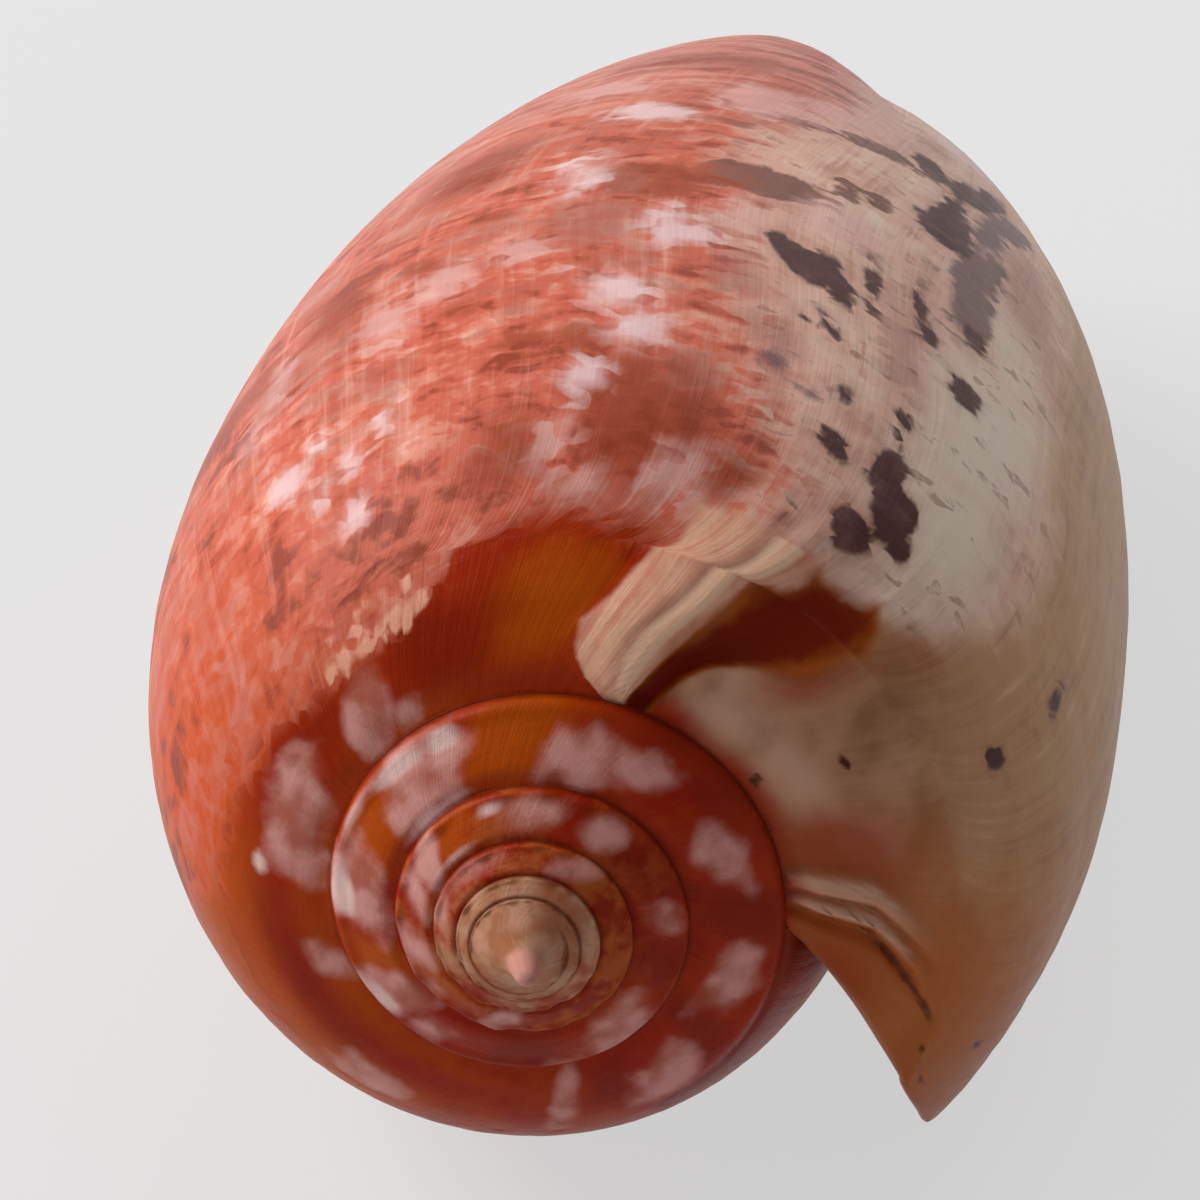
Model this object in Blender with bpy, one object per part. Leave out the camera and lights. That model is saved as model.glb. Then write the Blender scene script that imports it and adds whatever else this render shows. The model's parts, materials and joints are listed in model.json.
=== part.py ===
"""A bubble cone shell: one inflated last whorl under a low, pointed spire, grown as one piece.

The shell is shaped along its own axis, with the apex at z = 0 and the base at z = -SHELL_LENGTH.
Two coordinates name a place on it. `turn` counts whorls back from the outer lip, clockwise growth
seen from the apex. `depth` runs down the side of a whorl, from its shoulder (0) to its base (1).
Above the shoulder a sloping ramp reaches in to the suture, where it meets the whorl before it.
The last step lays the shell down on its aperture, with the spire towards -Y.
"""
import math

import bmesh
import bpy
import numpy as np
from mathutils import Matrix

# Driving dimensions, in metres
SHELL_LENGTH = 0.0600
SHOULDER_RADIUS = 0.0131
SPIRE_HEIGHT = 0.0085
WALL = 0.0011
LIP_EDGE = 0.0007
BASE_WALL = 0.0007
CORE_RADIUS = 0.00105
NOTCH_DEPTH = 0.0018
LIP_CORNER = 0.0035
CHANNEL_DEPTH = 0.00022
TIP_ROUNDING = 0.0007

# How the spiral grows, turn by turn
SHOULDER_GROWTH = 0.533
GROWTH_SLOWING = 0.027
BASE_GROWTH = 1.777
BASE_SHARE_POWER = 2.52
SPIRE_CONCAVITY = 0.558
RAMP_SWELL = 0.016
WHORLS = 6

# Profile of the last whorl: two superelliptic arcs that meet at its widest depth
WIDEST = 1.363
WIDEST_DEPTH = 0.307
BASE_WIDTH = 0.516
UPPER_ROUNDNESS = 2.49
LOWER_ROUNDNESS = 2.2

# The outer lip: how far it runs ahead of the suture, in turns, and how it draws in
LIP_LEAD_SHOULDER = 0.070
LIP_LEAD_BASE = 0.008
LIP_LEAD_HUMP = 0.052
LIP_LEAD_POWER = 0.467
LIP_RECEDE = 0.25
LIP_RECEDE_DEPTH = 0.15
LIP_LEAD_KEPT = 0.32
LIP_LEAD_GONE = 0.75
LIP_DRAW_IN = 0.062
LIP_DRAW_SPAN = 0.18
LIP_DRAW_DEPTH = 0.15
LIP_THINNING = 0.12

# Along the lower edge, in turns: the siphonal notch, and where the lip's corner rounds off
NOTCH_TURN = 0.3
NOTCH_SPREAD = 0.12
CORNER_TURN = 0.17
CORNER_SPAN = 0.09

# The groove at the suture, as shares of the ramp
CHANNEL_SHARE = 0.08
CHANNEL_SPREAD = 0.06

# The base of the columella stands a little off the axis of the spire
LEAN_X = 0.00307
LEAN_Y = 0.00178

# The pointed first shell: each ring's radius and distance below the apex, and its lean
NUCLEUS_RINGS = ((0.00102, 0.00200), (0.00066, 0.00148), (0.00050, 0.00090), (0.00034, 0.00030))
NUCLEUS_BASE = 0.00246
NUCLEUS_LEAN = (0.00039, 0.00035)

# The mended break across the last whorl: a rib, the hollow before it and a swelling.
# Each has a height, the growth line it follows and its spread, in turns.
SCAR_FOLDS = ((0.00050, 0.256, 0.020), (-0.00045, 0.222, 0.016), (0.00030, 0.188, 0.024))
SCAR_SUTURE_FADE = 0.2
SCAR_DEPTH_FADE = 0.09
RAMP_FACING = 0.25

# Attitude at rest on the aperture, in degrees
REST_PITCH = -8.59
REST_ROLL = -10.7

# Mesh resolution
COLUMNS = 48
COLUMN_CROWDING = 0.5
CROWDED_LINE = 0.23
BODY_ROWS = 20
ROW_CROWDING = 1.45
CAVITY_COLUMNS = 36
RAMP_STEPS = (0.0, 0.08, 0.3, 0.65, 1.0)
INNER_RAMP_STEPS = (0.12, 0.35, 0.7)
EDGE_BULGE = 0.35
NORMAL_STEP = 1e-4
SHARP_ANGLE = math.radians(50)

SHELL_COLOUR = (0.47, 0.14, 0.07, 1.0)
SHELL_ROUGHNESS = 0.28


def growth(turn):
    """Size of the spiral at a turn, as a share of its size at the lip."""
    return np.exp(-(SHOULDER_GROWTH * turn - GROWTH_SLOWING * turn ** 2))


def shoulder_height(turn):
    return -SPIRE_HEIGHT * growth(turn) ** SPIRE_CONCAVITY


def profile_width(depth):
    """Radius of the last whorl at its lip, as a share of the shoulder's radius."""
    upper = WIDEST_DEPTH / (1 - WIDEST ** -UPPER_ROUNDNESS) ** (1 / UPPER_ROUNDNESS)
    lower_end = 1 - (BASE_WIDTH / WIDEST) ** LOWER_ROUNDNESS
    lower = (1 - WIDEST_DEPTH) / lower_end ** (1 / LOWER_ROUNDNESS)
    above = np.clip((WIDEST_DEPTH - depth) / upper, 0, 1)
    below = np.clip((depth - WIDEST_DEPTH) / lower, 0, 1)
    upper_arc = (1 - above ** UPPER_ROUNDNESS) ** (1 / UPPER_ROUNDNESS)
    lower_arc = (1 - below ** LOWER_ROUNDNESS) ** (1 / LOWER_ROUNDNESS)
    return WIDEST * np.where(depth < WIDEST_DEPTH, upper_arc, lower_arc)


def lip_lead(depth):
    """How far ahead of the suture the growing edge stands at a depth, in turns."""
    share = depth ** LIP_LEAD_POWER
    straight = LIP_LEAD_SHOULDER * (1 - share) + LIP_LEAD_BASE * share
    recede = LIP_RECEDE * np.maximum(depth - LIP_RECEDE_DEPTH, 0) ** 2
    return straight + 4 * LIP_LEAD_HUMP * share * (1 - share) - recede


def base_height(turn):
    """Height of the lower edge, with the siphonal notch and the rounded corner of the lip."""
    notch = NOTCH_DEPTH * np.exp(-((turn - NOTCH_TURN) / NOTCH_SPREAD) ** 2)
    corner = LIP_CORNER * np.clip(1 - (turn - CORNER_TURN) / CORNER_SPAN, 0, 1) ** 2
    return -SHELL_LENGTH + notch + corner


def spiral_point(radius, turn, height):
    """A point on the spiral, sheared by the lean of the columella."""
    angle = -2 * math.pi * turn
    lean = (height / SHELL_LENGTH) ** 2
    x = radius * np.cos(angle) + LEAN_X * lean
    y = -radius * np.sin(angle) + LEAN_Y * lean
    return np.stack([x, y, height + 0 * x], axis=-1)


def ramp_point(turn, share):
    """The ramp, from the suture (0) out to the shoulder (1)."""
    inner_radius = SHOULDER_RADIUS * growth(turn + 1)
    outer_radius = SHOULDER_RADIUS * growth(turn)
    swell = RAMP_SWELL * outer_radius * np.sin(math.pi * share)
    channel = CHANNEL_DEPTH * growth(turn) * np.exp(-((share - CHANNEL_SHARE) / CHANNEL_SPREAD) ** 2)
    rise = shoulder_height(turn) - shoulder_height(turn + 1)
    height = shoulder_height(turn + 1) + rise * share + swell - channel * (share > 0)
    radius = inner_radius + (outer_radius - inner_radius) * share
    return spiral_point(radius, turn, height)


def body_point(turn, depth):
    """The side of a whorl, from its shoulder (0) down to its base (1)."""
    base_share = depth ** BASE_SHARE_POWER
    shoulder_decay = SHOULDER_GROWTH * turn - GROWTH_SLOWING * turn ** 2
    decay = np.exp(-shoulder_decay * (1 - base_share) - BASE_GROWTH * turn * base_share)
    core = CORE_RADIUS * depth
    radius = core + (SHOULDER_RADIUS * profile_width(depth) - core) * decay
    behind_lip = np.maximum(turn + lip_lead(depth), 0)
    draw_in = LIP_DRAW_IN * np.exp(-behind_lip / LIP_DRAW_SPAN) * np.minimum(depth / LIP_DRAW_DEPTH, 1)
    top = shoulder_height(turn)
    height = top + (base_height(turn) - top) * depth
    return spiral_point(radius * (1 - draw_in), turn, height)


def lead_kept(line):
    """Share of the lip's lead that a growth line keeps: all near the lip, none further back."""
    fade = np.clip((LIP_LEAD_GONE - line) / (LIP_LEAD_GONE - LIP_LEAD_KEPT), 0, 1)
    return fade * fade * (3 - 2 * fade)


def scar_height(line):
    height = 0 * line
    for fold, centre, spread in SCAR_FOLDS:
        height = height + fold * np.exp(-((line - centre) / spread) ** 2)
    return height


def raised(point, turn, height, outward):
    """Moves a point off the surface; outward is 0 straight up and 1 straight out from the axis."""
    angle = -2 * math.pi * turn
    tilt = outward * math.pi / 2
    direction = [np.sin(tilt) * np.cos(angle), -np.sin(tilt) * np.sin(angle), np.cos(tilt) + 0 * angle]
    return point + np.stack(direction, axis=-1) * height[..., None]


def outer_ramp(line, share):
    turn = line - LIP_LEAD_SHOULDER * share * lead_kept(line)
    height = scar_height(line) * np.minimum(share / SCAR_SUTURE_FADE, 1)
    return raised(ramp_point(turn, share), turn, height, RAMP_FACING + 0 * share)


def smooth_body(line, depth):
    """The side of the shell without the mended break."""
    return body_point(line - lip_lead(depth) * lead_kept(line), depth)


def outer_body(line, depth):
    turn = line - lip_lead(depth) * lead_kept(line)
    height = scar_height(line) * np.exp(-(depth / SCAR_DEPTH_FADE) ** 2)
    outward = RAMP_FACING + (1 - RAMP_FACING) * np.clip(depth / SCAR_DEPTH_FADE, 0, 1)
    return raised(body_point(turn, depth), turn, height, outward)


def growth_line(column):
    """Growth line of a column, in turns; columns crowd together around the mended break."""
    share = column / COLUMNS
    swing = math.sin(math.tau * (share - CROWDED_LINE)) + math.sin(math.tau * CROWDED_LINE)
    return share - COLUMN_CROWDING / math.tau * swing


def inward_normal(line, depth):
    """Unit vector from the outer face of the body towards the cavity."""
    lower = np.minimum(depth + NORMAL_STEP, 1.0)
    upper = np.maximum(depth - NORMAL_STEP, 0.0)
    along = smooth_body(line + NORMAL_STEP, depth) - smooth_body(line - NORMAL_STEP, depth)
    down = smooth_body(line, lower) - smooth_body(line, upper)
    normal = np.cross(along, down)
    normal /= np.linalg.norm(normal, axis=-1, keepdims=True)
    outward = smooth_body(line, depth) * np.array([1.0, 1.0, 0.0])
    facing = np.sum(normal * outward, axis=-1, keepdims=True)
    return -normal * np.sign(facing)


def wall_thickness(line, depth):
    """Thin at the lip and at the base, full in between."""
    from_lip = np.clip(line / LIP_THINNING, 0, 1)
    thickness = LIP_EDGE + (WALL - LIP_EDGE) * from_lip
    return thickness + (BASE_WALL - thickness) * depth ** 2


def inner_body(line, depth):
    thickness = wall_thickness(line, depth)[..., None]
    return smooth_body(line, depth) + inward_normal(line, depth) * thickness


def row_depths():
    return (np.arange(BODY_ROWS + 1) / BODY_ROWS) ** ROW_CROWDING


class ShellMesh:
    """Collects the shell's vertices and faces; grids share the vertices along their seams."""

    def __init__(self):
        self.points = []
        self.faces = []

    def add(self, point):
        self.points.append(tuple(float(c) for c in point))
        return len(self.points) - 1

    def add_row(self, points):
        return [self.add(point) for point in points]

    def strip(self, first, second):
        """Faces between two rows of equal length; a shared end makes a triangle."""
        for a, b, c, d in zip(first, first[1:], second[1:], second):
            corners = list(dict.fromkeys((a, b, c, d)))
            if len(corners) > 2:
                self.faces.append(corners)

    def grid(self, rows):
        for first, second in zip(rows, rows[1:]):
            self.strip(first, second)

    def fan(self, loop, centre):
        for a, b in zip(loop, loop[1:] + loop[:1]):
            self.faces.append([a, b, centre])


def body_columns(mesh):
    """Side of the last whorl and, past one turn, the wall of the whorl inside it."""
    depths = row_depths()
    columns = []
    for i in range(COLUMNS + CAVITY_COLUMNS + 1):
        points = outer_body(np.full(len(depths), growth_line(i)), depths)
        if i > COLUMNS:
            columns.append([None] + mesh.add_row(points[1:]))
        else:
            columns.append(mesh.add_row(points))
    mesh.grid(columns[:COLUMNS + 1])
    mesh.grid([column[1:] for column in columns[COLUMNS:]])
    return columns


def ramp_columns(mesh, body):
    """The ramp of every whorl; each suture is the shoulder of the whorl before it."""
    end = WHORLS * COLUMNS
    shoulders = [column[0] for column in body[:COLUMNS + 1]]
    columns = []
    for i in range(end):
        if i > COLUMNS:
            shoulders.append(columns[i - COLUMNS][0])
        taper = max(0, i - end + COLUMNS) / COLUMNS
        shares = np.array([step + (1 - step) * taper for step in RAMP_STEPS[:-1]])
        points = outer_ramp(np.full(len(shares), growth_line(i)), shares)
        first = [shoulders[COLUMNS]] if i == 0 else mesh.add_row(points[:1])
        columns.append(first + mesh.add_row(points[1:]) + [shoulders[i]])
    columns.append([columns[end - COLUMNS][0]] * len(RAMP_STEPS))
    mesh.grid(columns)
    return columns


def close_spire(mesh, ramps):
    """Rings of the pointed first shell, up to the apex."""
    start = (WHORLS - 1) * COLUMNS
    rings = [[ramps[i][0] for i in range(start, start + COLUMNS)]]
    turns = np.array([growth_line(i) for i in range(start, start + COLUMNS)])
    lean = np.array([*NUCLEUS_LEAN, 0.0])
    for radius, drop in NUCLEUS_RINGS:
        ring = spiral_point(radius, turns, -drop) + lean * (1 - drop / NUCLEUS_BASE)
        rings.append(mesh.add_row(ring))
    for first, second in zip(rings, rings[1:]):
        mesh.strip(first + first[:1], second + second[:1])
    mesh.fan(rings[-1], mesh.add(lean))


def inner_columns(mesh, body):
    """Inner face of the outer wall, hung from the row just under the suture."""
    depths = row_depths()
    columns = []
    for i in range(CAVITY_COLUMNS + 1):
        wall = inner_body(np.full(len(depths), growth_line(i)), depths)
        start = body[i + COLUMNS][1]
        start_point = np.array(mesh.points[start])
        ramp = [start_point + (wall[0] - start_point) * step for step in INNER_RAMP_STEPS]
        columns.append([start] + mesh.add_row(ramp) + mesh.add_row(wall))
    mesh.grid(columns)
    return columns


def rounded_edge(mesh, outer, inner, direction, start, end):
    """Closes the wall between its two faces over one raised middle row."""
    outer_points = np.array([mesh.points[v] for v in outer])
    inner_points = np.array([mesh.points[v] for v in inner])
    thickness = np.linalg.norm(outer_points - inner_points, axis=1, keepdims=True)
    middle_points = (outer_points + inner_points) / 2 + EDGE_BULGE * thickness * direction
    middle = [start] + mesh.add_row(middle_points[1:-1]) + [end]
    mesh.strip(outer, middle)
    mesh.strip(middle, inner)


def close_lip(mesh, body, ramps, inner):
    """The free edge of the outer lip; returns the vertex at its lower corner."""
    outer = ramps[0] + body[0][1:]
    depths = row_depths()
    ahead = body_point(-lip_lead(depths) - NORMAL_STEP, depths) - body_point(-lip_lead(depths), depths)
    ahead /= np.linalg.norm(ahead, axis=1, keepdims=True)
    ramp_rows = len(RAMP_STEPS) - 1
    direction = np.concatenate([np.repeat(ahead[:1], ramp_rows, axis=0), ahead])
    corner_points = np.array([mesh.points[outer[-1]], mesh.points[inner[0][-1]]])
    corner = mesh.add(corner_points.mean(axis=0) + EDGE_BULGE * LIP_EDGE * direction[-1])
    rounded_edge(mesh, outer, inner[0], direction, outer[0], corner)
    return corner


def close_base(mesh, body, inner, corner):
    """The open lower rim, and the solid foot of the columella past it."""
    outer_rim = [column[-1] for column in body[:CAVITY_COLUMNS + 1]]
    inner_rim = [column[-1] for column in inner]
    downward = np.array([0.0, 0.0, -1.0])
    rounded_edge(mesh, outer_rim, inner_rim, downward, corner, outer_rim[-1])
    foot = [inner_rim[-1]] + [column[-1] for column in body[CAVITY_COLUMNS:]]
    foot_points = np.array([mesh.points[v] for v in foot])
    tip = foot_points.mean(axis=0) - np.array([0.0, 0.0, TIP_ROUNDING])
    mesh.fan(foot, mesh.add(tip))


def close_cavity(mesh, body, inner):
    """The wall that ends the modelled hollow, deep inside the shell."""
    wall = inner[-1]
    parietal = body[-1][1:]
    first_side = len(INNER_RAMP_STEPS) + 2
    for a, b in zip(wall[1:first_side], wall[2:first_side + 1]):
        mesh.faces.append([wall[0], a, b])
    mesh.strip(wall[first_side:], parietal[:])


def build_shell_mesh():
    shell = ShellMesh()
    body = body_columns(shell)
    ramps = ramp_columns(shell, body)
    inner = inner_columns(shell, body)
    close_spire(shell, ramps)
    corner = close_lip(shell, body, ramps, inner)
    close_base(shell, body, inner, corner)
    close_cavity(shell, body, inner)
    return shell


def lie_down(mesh):
    """Turns the shell onto its aperture and stands its box on the origin."""
    roll = Matrix.Rotation(math.radians(REST_ROLL), 4, "Z")
    spire_back = Matrix.Rotation(math.radians(90 + REST_PITCH), 4, "X")
    mesh.transform(spire_back @ roll)
    points = np.array([vertex.co for vertex in mesh.vertices])
    low = points.min(axis=0)
    high = points.max(axis=0)
    centre = (low + high) / 2
    mesh.transform(Matrix.Translation((-centre[0], -centre[1], -low[2])))


def shell_material():
    material = bpy.data.materials.new("shell")
    material.use_nodes = True
    surface = material.node_tree.nodes["Principled BSDF"]
    surface.inputs["Base Color"].default_value = SHELL_COLOUR
    surface.inputs["Roughness"].default_value = SHELL_ROUGHNESS
    surface.inputs["Metallic"].default_value = 0.0
    return material


def make_shell():
    shell = build_shell_mesh()
    mesh = bpy.data.meshes.new("shell")
    mesh.from_pydata(shell.points, [], shell.faces)
    outside = bmesh.new()
    outside.from_mesh(mesh)
    bmesh.ops.triangulate(outside, faces=outside.faces)
    bmesh.ops.recalc_face_normals(outside, faces=outside.faces)
    outside.to_mesh(mesh)
    outside.free()
    lie_down(mesh)
    mesh.materials.append(shell_material())
    mesh.shade_smooth()
    mesh.set_sharp_from_angle(angle=SHARP_ANGLE)
    bpy.context.scene.collection.objects.link(bpy.data.objects.new("shell", mesh))


def main():
    for leftover in list(bpy.data.objects):
        bpy.data.objects.remove(leftover)
    make_shell()


main()
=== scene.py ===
import json
import math

import bmesh
import bpy
import numpy as np
from mathutils import Euler, Matrix, Vector

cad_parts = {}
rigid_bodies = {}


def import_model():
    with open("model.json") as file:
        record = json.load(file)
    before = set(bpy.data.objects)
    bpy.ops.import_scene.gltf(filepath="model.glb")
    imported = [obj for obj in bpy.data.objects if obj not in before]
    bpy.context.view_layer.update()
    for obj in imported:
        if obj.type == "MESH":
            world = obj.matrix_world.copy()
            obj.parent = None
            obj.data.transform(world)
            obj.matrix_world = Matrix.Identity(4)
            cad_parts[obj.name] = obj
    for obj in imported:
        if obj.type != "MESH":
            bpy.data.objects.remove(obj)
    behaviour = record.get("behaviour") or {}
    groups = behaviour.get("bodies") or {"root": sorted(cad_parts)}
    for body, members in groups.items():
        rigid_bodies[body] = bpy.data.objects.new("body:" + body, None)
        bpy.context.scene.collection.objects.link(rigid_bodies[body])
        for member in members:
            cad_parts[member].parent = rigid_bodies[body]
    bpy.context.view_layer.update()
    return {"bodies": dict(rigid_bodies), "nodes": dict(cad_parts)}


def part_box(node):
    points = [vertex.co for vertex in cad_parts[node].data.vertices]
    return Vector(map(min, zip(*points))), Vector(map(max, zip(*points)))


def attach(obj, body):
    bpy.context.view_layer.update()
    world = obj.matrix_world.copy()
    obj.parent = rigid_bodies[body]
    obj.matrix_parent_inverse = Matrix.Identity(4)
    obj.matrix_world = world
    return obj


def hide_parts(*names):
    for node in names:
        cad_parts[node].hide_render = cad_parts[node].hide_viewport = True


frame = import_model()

# ---- The shell's driving dimensions, as in the solid ----
SHELL_LENGTH = 0.0600
SHOULDER_RADIUS = 0.0131
SPIRE_HEIGHT = 0.0085
WALL = 0.0011
LIP_EDGE = 0.0004
BASE_WALL = 0.0007
CORE_RADIUS = 0.00105
NOTCH_DEPTH = 0.0018
LIP_CORNER = 0.0035
CHANNEL_DEPTH = 0.00022
TIP_ROUNDING = 0.0007

SHOULDER_GROWTH = 0.533
GROWTH_SLOWING = 0.027
BASE_GROWTH = 1.777
BASE_SHARE_POWER = 2.52
SPIRE_CONCAVITY = 0.558
RAMP_SWELL = 0.016
WHORLS = 6

WIDEST = 1.363
WIDEST_DEPTH = 0.307
BASE_WIDTH = 0.516
UPPER_ROUNDNESS = 2.49
LOWER_ROUNDNESS = 2.2

LIP_LEAD_SHOULDER = 0.070
LIP_LEAD_BASE = 0.008
LIP_LEAD_HUMP = 0.052
LIP_LEAD_POWER = 0.467
LIP_RECEDE = 0.25
LIP_RECEDE_DEPTH = 0.15
LIP_LEAD_KEPT = 0.32
LIP_LEAD_GONE = 0.75
LIP_DRAW_IN = 0.062
LIP_DRAW_SPAN = 0.18
LIP_DRAW_DEPTH = 0.15
LIP_THINNING = 0.12
TIP_DEPTH = 0.07
TIP_POWER = 0.72

NOTCH_TURN = 0.3
NOTCH_SPREAD = 0.12
CORNER_TURN = 0.17
CORNER_SPAN = 0.09

CHANNEL_SHARE = 0.08
CHANNEL_SPREAD = 0.06

LEAN_X = 0.00307
LEAN_Y = 0.00178

NUCLEUS_RINGS = ((0.00102, 0.00200), (0.00058, 0.00156), (0.00046, 0.00110), (0.00038, 0.00040))
NUCLEUS_BASE = 0.00246
NUCLEUS_LEAN = (0.00039, 0.00035)
NUCLEUS_ACROSS = -0.5

SCAR_DEPTH_FADE = 0.09
RAMP_FACING = 0.25

REST_PITCH = -8.59
REST_ROLL = -10.7

# ---- Mesh resolution ----
COLUMNS = 360
COLUMN_CROWDING = 0.5
CROWDED_LINE = 0.23
CAVITY_SHARE = 0.75
INNER_STRIDE = 3
SPIRE_STRIDE = 2
BODY_ROWS = 132
ROW_CROWDING = 1.45
HANG_ROW = 9
RAMP_ROWS = 18
INNER_RAMP_STEPS = (0.12, 0.35, 0.7)
EDGE_ANGLES = (math.radians(40), math.radians(90), math.radians(140))
FOOT_ANGLES = (math.radians(25), math.radians(50), math.radians(72))
EDGE_BULGE = 0.25
FOOT_LINE = 0.5
RIM_FADING = 24
# The last ring under the apex, as shares of the radius and drop of the ring before it.
CROWN = (0.7, 0.25)
NORMAL_STEP = 1e-4
SAME_PLACE = 1e-9
PROFILE_CUTS = 3
CUT_SHARE = 0.25
DOWNWARD = np.array([0.0, 0.0, -1.0])

# Rows and columns of the two faces of the wall; the inner face keeps one in INNER_STRIDE.
CAVITY_COLUMN = round(COLUMNS * CAVITY_SHARE)
INNER_COLUMNS = np.arange(0, CAVITY_COLUMN + 1, INNER_STRIDE)
OUTER_ROWS = np.arange(BODY_ROWS + 1)
INNER_ROWS = np.arange(0, BODY_ROWS + 1, INNER_STRIDE)
HUNG_ROWS = np.arange(HANG_ROW, BODY_ROWS + 1, INNER_STRIDE)

# ---- How the markings lie: growth streaks are former edges of the lip ----
STREAK_SUTURE_LEAD = 0.040
STREAK_SWEEP = 0.5
STREAK_SWEEP_START = 0.26
STREAK_SWEEP_END = 0.48
MM_PER_TURN = 100.0
MM_BODY = 52.0
MM_RAMP = 5.2
PATCH_SQUARENESS = 2.6
FIELD_REACH = 3.0

# ---- Relief that the solid leaves out or shows plainly; heights in metres ----
# `across` joins the two ways down the shell: share - 1 on the ramp (-1 to 0), depth below it.
SHOULDER_ROUNDING_MM = 2.6
SHOULDER_REACH_MM = 3.4
ROUNDED_FROM_LIP = 0.10
ROUNDED_TO_WHORL = 0.14
KERNEL = (-1.0, -0.72, -0.45, -0.2, 0.0, 0.2, 0.45, 0.72, 1.0)
KERNEL_WEIGHTS = (0.03, 0.08, 0.13, 0.17, 0.18, 0.17, 0.13, 0.08, 0.03)

SPIRE_RIM = 0.00015
SPIRE_RIM_SHARE = 0.87
SPIRE_RIM_SPREAD = 0.08
SUTURE_GROOVE = -0.00018
SUTURE_SPREAD = 0.05
SPIRE_FROM_TURN = 0.84
SPIRE_FULL_TURN = 1.0
RAGGED_FROM_TURN = 1.5
RAGGED_SPAN = 0.9
# Waves of the early rims' height: weight, waves in a turn and phase.
RAGGED_WAVES = ((0.50, 9.3, 0.0), (0.45, 14.7, 1.1), (0.40, 23.0, 2.3))

# The mended break: how high the surface stands across it, from the young side to the old side.
# Places are 0 at the cliff, 1 at the rib's old border and -1 at the hollow's young border.
SCAR_HEIGHT = 0.00058
SCAR_PROFILE = (
    (-3.2, 0.0), (-2.2, 0.14), (-1.4, 0.30), (-1.0, 0.06), (-0.75, -0.50), (-0.40, -0.85), (-0.08, -0.78),
    (0.12, 0.72), (0.25, 1.0), (0.38, 0.80), (0.52, 0.90), (0.80, 0.50), (1.0, 0.10), (1.12, 0.0),
)
CLIFF_LINE = 0.2475
RIB_BORDER = (
    (-1.0, 0.262), (-0.9, 0.279), (-0.7, 0.296), (-0.5, 0.302), (-0.3, 0.295), (0.0, 0.291), (0.03, 0.300),
    (0.06, 0.282),
)
HOLLOW_BORDER = ((-1.0, 0.230), (-0.65, 0.232), (-0.53, 0.225), (-0.32, 0.200), (0.0, 0.194), (0.03, 0.222))
SCAR_TOP_FADE = 0.06
SCAR_END = 0.045
SCAR_COLOUR_END = 0.030
RIB_HALF_MM = 2.4
HOLLOW_HALF_MM = 1.8

# A former edge of the lip, as two low folds with a crevice on their young side, and finer folds.
# Each fold is its height, its place from the line and its spread, in turns.
OLD_LIP_LINE = ((-1.0, 0.058), (-0.5, 0.057), (0.0, 0.030), (0.1, 0.022))
OLD_LIP_FOLDS = (
    (0.00050, 0.018, 0.0058), (0.00036, 0.004, 0.0040), (-0.00040, -0.0050, 0.0038),
    (0.00013, 0.0220, 0.0016), (-0.00014, 0.0110, 0.0018), (0.00011, 0.0060, 0.0014),
)
OLD_LIP_TOP_FADE = 0.05
OLD_LIP_END = -0.03
OLD_LIP_END_FADE = 0.3

RIPPLE_SEED = 7
RIPPLES = 22
RIPPLE_HEIGHT = 0.0000055
RIPPLE_SHORTEST = 0.006
RIPPLE_LONGEST = 0.045
RIPPLE_DRIFT = 1.5
RIPPLE_WEIGHT_POWER = 0.4
SWELL_CONTRAST = 0.7
SWELL_RATE = 14
SWELL_SLOPES = (4, 13)
DENT_HEIGHT = 0.00004
# Each wave's rates along the streak coordinate and across it, and its phase.
DENT_WAVES = ((11, 3.1, 0.4), (-4, 7.3, 1.7), (31, -9, 0.0), (23, 17, 2.2))
QUICK_DENT_SHARE = 0.4
DENT_TOP_FADE = 0.1
STRIAE_HEIGHT = 0.000040
STRIAE_PERIOD = 0.0052
# Windows: from, to, and how far they fade beyond.
STRIAE_LINES = (0.41, 0.46, 0.012)
STRIAE_DEPTHS = (0.025, 0.155, 0.03)
FINE_RELIEF = (-0.9, 0.9, 0.1)
RAMP_CALM = 0.6
RAMP_CALM_FADE = 0.15
LAST_WHORL_FADE = 0.1


def smooth(value):
    """Rises smoothly from 0 to 1 with the value."""
    value = np.clip(value, 0, 1)
    return value * value * (3 - 2 * value)


def window(value, low, high, soft):
    """1 between low and high, falling smoothly to 0 over `soft` beyond them."""
    return smooth((value - low) / soft + 1) * smooth((high - value) / soft + 1)


def bell(value, centre, spread):
    """1 at the centre, falling smoothly to 0 on both sides."""
    return np.exp(-((value - centre) / spread) ** 2)


def curve(corners, value):
    """Value of a line drawn through given corners."""
    places, heights = zip(*corners)
    return np.interp(value, places, heights)


# ---- The plain shell, as in the solid ----

def growth(turn):
    """Size of the spiral at a turn, as a share of its size at the lip."""
    return np.exp(-(SHOULDER_GROWTH * turn - GROWTH_SLOWING * turn ** 2))


def shoulder_height(turn):
    return -SPIRE_HEIGHT * growth(turn) ** SPIRE_CONCAVITY


def profile_width(depth):
    """Radius of the last whorl at its lip, as a share of the shoulder's radius."""
    upper = WIDEST_DEPTH / (1 - WIDEST ** -UPPER_ROUNDNESS) ** (1 / UPPER_ROUNDNESS)
    lower_end = 1 - (BASE_WIDTH / WIDEST) ** LOWER_ROUNDNESS
    lower = (1 - WIDEST_DEPTH) / lower_end ** (1 / LOWER_ROUNDNESS)
    above = np.clip((WIDEST_DEPTH - depth) / upper, 0, 1)
    below = np.clip((depth - WIDEST_DEPTH) / lower, 0, 1)
    upper_arc = (1 - above ** UPPER_ROUNDNESS) ** (1 / UPPER_ROUNDNESS)
    lower_arc = (1 - below ** LOWER_ROUNDNESS) ** (1 / LOWER_ROUNDNESS)
    return WIDEST * np.where(depth < WIDEST_DEPTH, upper_arc, lower_arc)


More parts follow.
